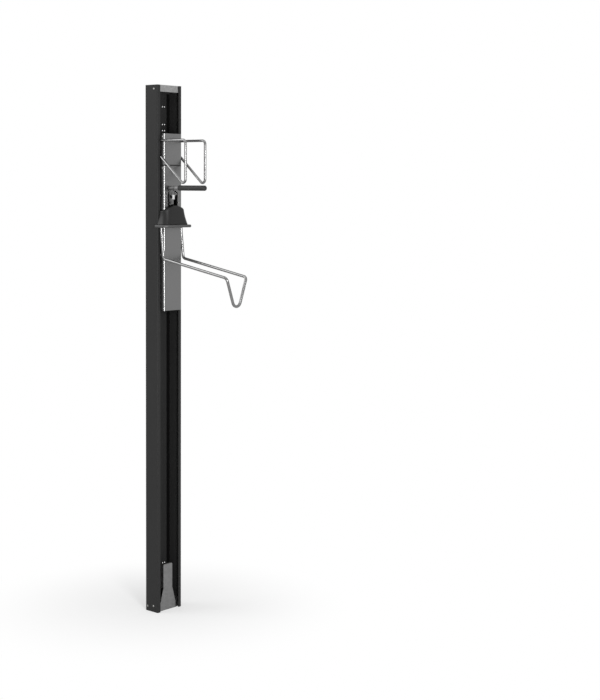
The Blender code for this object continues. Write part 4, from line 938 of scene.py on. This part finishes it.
class LIFT_OT_rollers(bpy.types.Operator):
    """Turns the four rollers and their bearings"""

    bl_idname = "lift.rollers"
    bl_label = "Rollers"

    def execute(self, context):
        for level in ("upper", "lower"):
            for side, _ in SIDES:
                name = f"{level}_{side}"
                low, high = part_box(f"roller_{name}")
                middle, rim, half = (low + high) / 2, (high.z - low.z) / 2, (high.x - low.x) / 2
                soft, hub, web = half * 0.24, 0.0145, half * 0.64
                one = [(0.0113, half * 0.7), (hub, half * 0.7), (hub, web)]
                one += [(rim * 0.8, web), (rim * 0.8, half)]
                one += [(rim - soft, half), (rim - soft * 0.3, half - soft * 0.3), (rim, half - soft)]
                wheel = lathe(bmesh.new(), one + [(r, -x) for r, x in reversed(one)], "X", middle, 72, True)
                piece(f"wheel_{name}", wheel, "roller_plastic", f"roller_{name}", f"roller_{name}")
                low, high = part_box(f"bearing_{name}")
                half, bore, rim = (high.x - low.x) / 2, 0.0043, (high.z - low.z) / 2
                race, sunk = (rim - bore) * 0.22, half * 0.86
                one = [(bore, half * 0.94), (bore + 0.0002, half), (bore + race, half), (bore + race, sunk)]
                one += [(rim - race, sunk), (rim - race, half), (rim - 0.0003, half), (rim, half * 0.9)]
                races = lathe(bmesh.new(), one + [(r, -x) for r, x in reversed(one)], "X", middle, 48, True)
                piece(f"races_{name}", races, "bearing_steel", f"roller_{name}", f"bearing_{name}")
        return {"FINISHED"}


class LIFT_OT_spring(bpy.types.Operator):
    """Turns the gas spring: its rod on the foot bracket and its cylinder on the carriage"""

    bl_idname = "lift.spring"
    bl_label = "Gas spring"

    def execute(self, context):
        low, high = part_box("gas_spring_cylinder")
        middle, skin = (low + high) / 2, (high.x - low.x) / 2
        middle.z = 0
        foot, top = low.z, CARRIAGE_TOP - 0.0313
        rounded, groove, soft = skin * 0.85, skin * 0.93, 0.0016
        outer = [(rounded, foot), (skin, foot + soft), (skin, foot + 0.016)]
        outer += [(groove, foot + 0.017), (groove, foot + 0.019), (skin, foot + 0.020)]
        outer += [(skin, top - soft), (rounded, top)]
        wall, bore, gland = 0.008, 0.009, 0.0053
        profile = [(0, top - wall), (bore, top - wall), (bore, foot + wall), (gland, foot + wall)]
        profile += [(gland, foot)] + outer
        profile += [(0.004, top), (0.004, high.z - 0.0005), (0.0035, high.z), (0, high.z)]
        body = lathe(bmesh.new(), profile, "Z", middle, 56)
        piece("spring_tube", body, "black_paint", "carriage", "gas_spring_cylinder")
        low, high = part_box("gas_spring_rod")
        middle = (low + high) / 2
        middle.z = 0
        seat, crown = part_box("rod_boss")[1].z + SEAT, high.z - 0.012
        thread, radius, piston = 0.004, 0.005, 0.0087
        profile = [(0, low.z), (thread, low.z), (thread, seat), (0.0047, seat)]
        profile += [(radius, seat + 0.0003), (radius, crown)]
        profile += [(piston, crown), (piston, high.z), (0, high.z)]
        rod = lathe(bmesh.new(), profile, "Z", middle, 40)
        piece("spring_rod", rod, "chromed_rod", "column", "gas_spring_rod")
        return {"FINISHED"}


class LIFT_OT_stage(bpy.types.Operator):
    """Lays the floor, sets the soft lights and places the camera"""

    bl_idname = "lift.stage"
    bl_label = "Stage"

    def execute(self, context):
        scene = context.scene
        bm = bmesh.new()
        bmesh.ops.create_grid(bm, x_segments=1, y_segments=1, size=14)
        mesh = bpy.data.meshes.new("floor")
        bm.to_mesh(mesh)
        bm.free()
        floor = bpy.data.objects.new("floor", mesh)
        scene.collection.objects.link(floor)
        floor.location.z = CAD_LOW.z
        finish = Finish("pale_floor", roughness=0.8, specular_ior_level=0.1)
        finish.paint(base_color=(*scene.lift_colours.floor, 1.0))
        away = finish.node("ShaderNodeVectorMath", {"operation": "LENGTH"}, {0: finish.place}, "Value")
        glow = finish.node("ShaderNodeEmission", {}, {"Color": (1, 1, 1, 1), "Strength": 1.0})
        lit = Socket(finish, finish.shader.outputs[0])
        mixed = finish.mixed(away.ramp(0.05, 0.7, 0.5, 1.0) * finish.seen(), lit, glow)
        finish.feed(finish.tree.nodes["Material Output"].inputs["Surface"], mixed)
        floor.data.materials.append(finish.material)

        world = bpy.data.worlds.new("studio")
        scene.world = world
        world.use_nodes = True
        air = Nodes(world.node_tree)
        soft, white = (
            air.node("ShaderNodeBackground", {}, {"Color": (1, 1, 1, 1), "Strength": strength})
            for strength in (0.45, 1.0)
        )
        air.feed(air.tree.nodes["World Output"].inputs["Surface"], air.mixed(air.seen(), soft, white))

        middle = Vector((0, -0.1, 0.1))
        for name, place, size, power in (
            ("key", (-1.35, -2.5, 0.35), (0.5, 1.4), 60),
            ("rim", (-2.8, 2.8, 2.5), (2.6, 2.6), 70),
            ("top", (-0.4, -0.8, 2.6), (1.6, 1.6), 10),
        ):
            lamp = bpy.data.lights.new(name, "AREA")
            lamp.shape, lamp.size, lamp.size_y, lamp.energy = "RECTANGLE", *size, power
            holder = bpy.data.objects.new(name, lamp)
            scene.collection.objects.link(holder)
            holder.location = place
            holder.rotation_euler = (middle - Vector(place)).to_track_quat("-Z", "Y").to_euler()

        lens = bpy.data.cameras.new("camera")
        lens.sensor_width, lens.lens = 36.0, 73.79
        shift, frame_height = -60, 700
        lens.shift_y = shift / frame_height
        camera = bpy.data.objects.new("camera", lens)
        scene.collection.objects.link(camera)
        yaw, pitch, roll = (math.radians(a) for a in (41.084, 4.076, 0.373))
        ahead = Vector((math.cos(yaw) * math.cos(pitch), math.sin(yaw) * math.cos(pitch), -math.sin(pitch)))
        right = Vector((math.sin(yaw), -math.cos(yaw), 0))
        up = right.cross(ahead)
        right, up = right * math.cos(roll) + up * math.sin(roll), up * math.cos(roll) - right * math.sin(roll)
        turn = Matrix((right, up, -ahead)).transposed()
        camera.matrix_world = Matrix.Translation((-3.474, -3.696, 0.574)) @ turn.to_4x4()
        scene.camera = camera
        scene.view_settings.view_transform = "Standard"
        return {"FINISHED"}


class LIFT_PT_panel(bpy.types.Panel):
    """Lists the lift's sizes, colours and steps"""

    bl_idname = "LIFT_PT_panel"
    bl_label = "Bike lift"
    bl_space_type = "VIEW_3D"
    bl_region_type = "UI"
    bl_category = "Lift"

    def draw(self, context):
        for group in GROUPS:
            box = self.layout.box()
            values = getattr(context.scene, group)
            for key in values.bl_rna.properties.keys():
                if key not in ("rna_type", "name"):
                    box.prop(values, key)
        for step in STEPS:
            self.layout.operator(step.bl_idname)


GROUPS = {
    "lift_column": LiftColumnSizes,
    "lift_carriage": LiftCarriageSizes,
    "lift_lever": LiftLeverSizes,
    "lift_colours": LiftColours,
}
STEPS = (
    LIFT_OT_finishes,
    LIFT_OT_column,
    LIFT_OT_brackets,
    LIFT_OT_covers,
    LIFT_OT_rods,
    LIFT_OT_buffer,
    LIFT_OT_lever,
    LIFT_OT_fasteners,
    LIFT_OT_rollers,
    LIFT_OT_spring,
    LIFT_OT_stage,
)


def register():
    for cls in (*GROUPS.values(), *STEPS, LIFT_PT_panel):
        bpy.utils.register_class(cls)
    for group, cls in GROUPS.items():
        setattr(bpy.types.Scene, group, PointerProperty(type=cls))


def unregister():
    for group in GROUPS:
        delattr(bpy.types.Scene, group)
    for cls in reversed((*GROUPS.values(), *STEPS, LIFT_PT_panel)):
        bpy.utils.unregister_class(cls)


def main():
    register()
    for step in STEPS:
        group, name = step.bl_idname.split(".")
        getattr(getattr(bpy.ops, group), name)()
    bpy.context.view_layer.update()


if __name__ == "__main__":
    main()
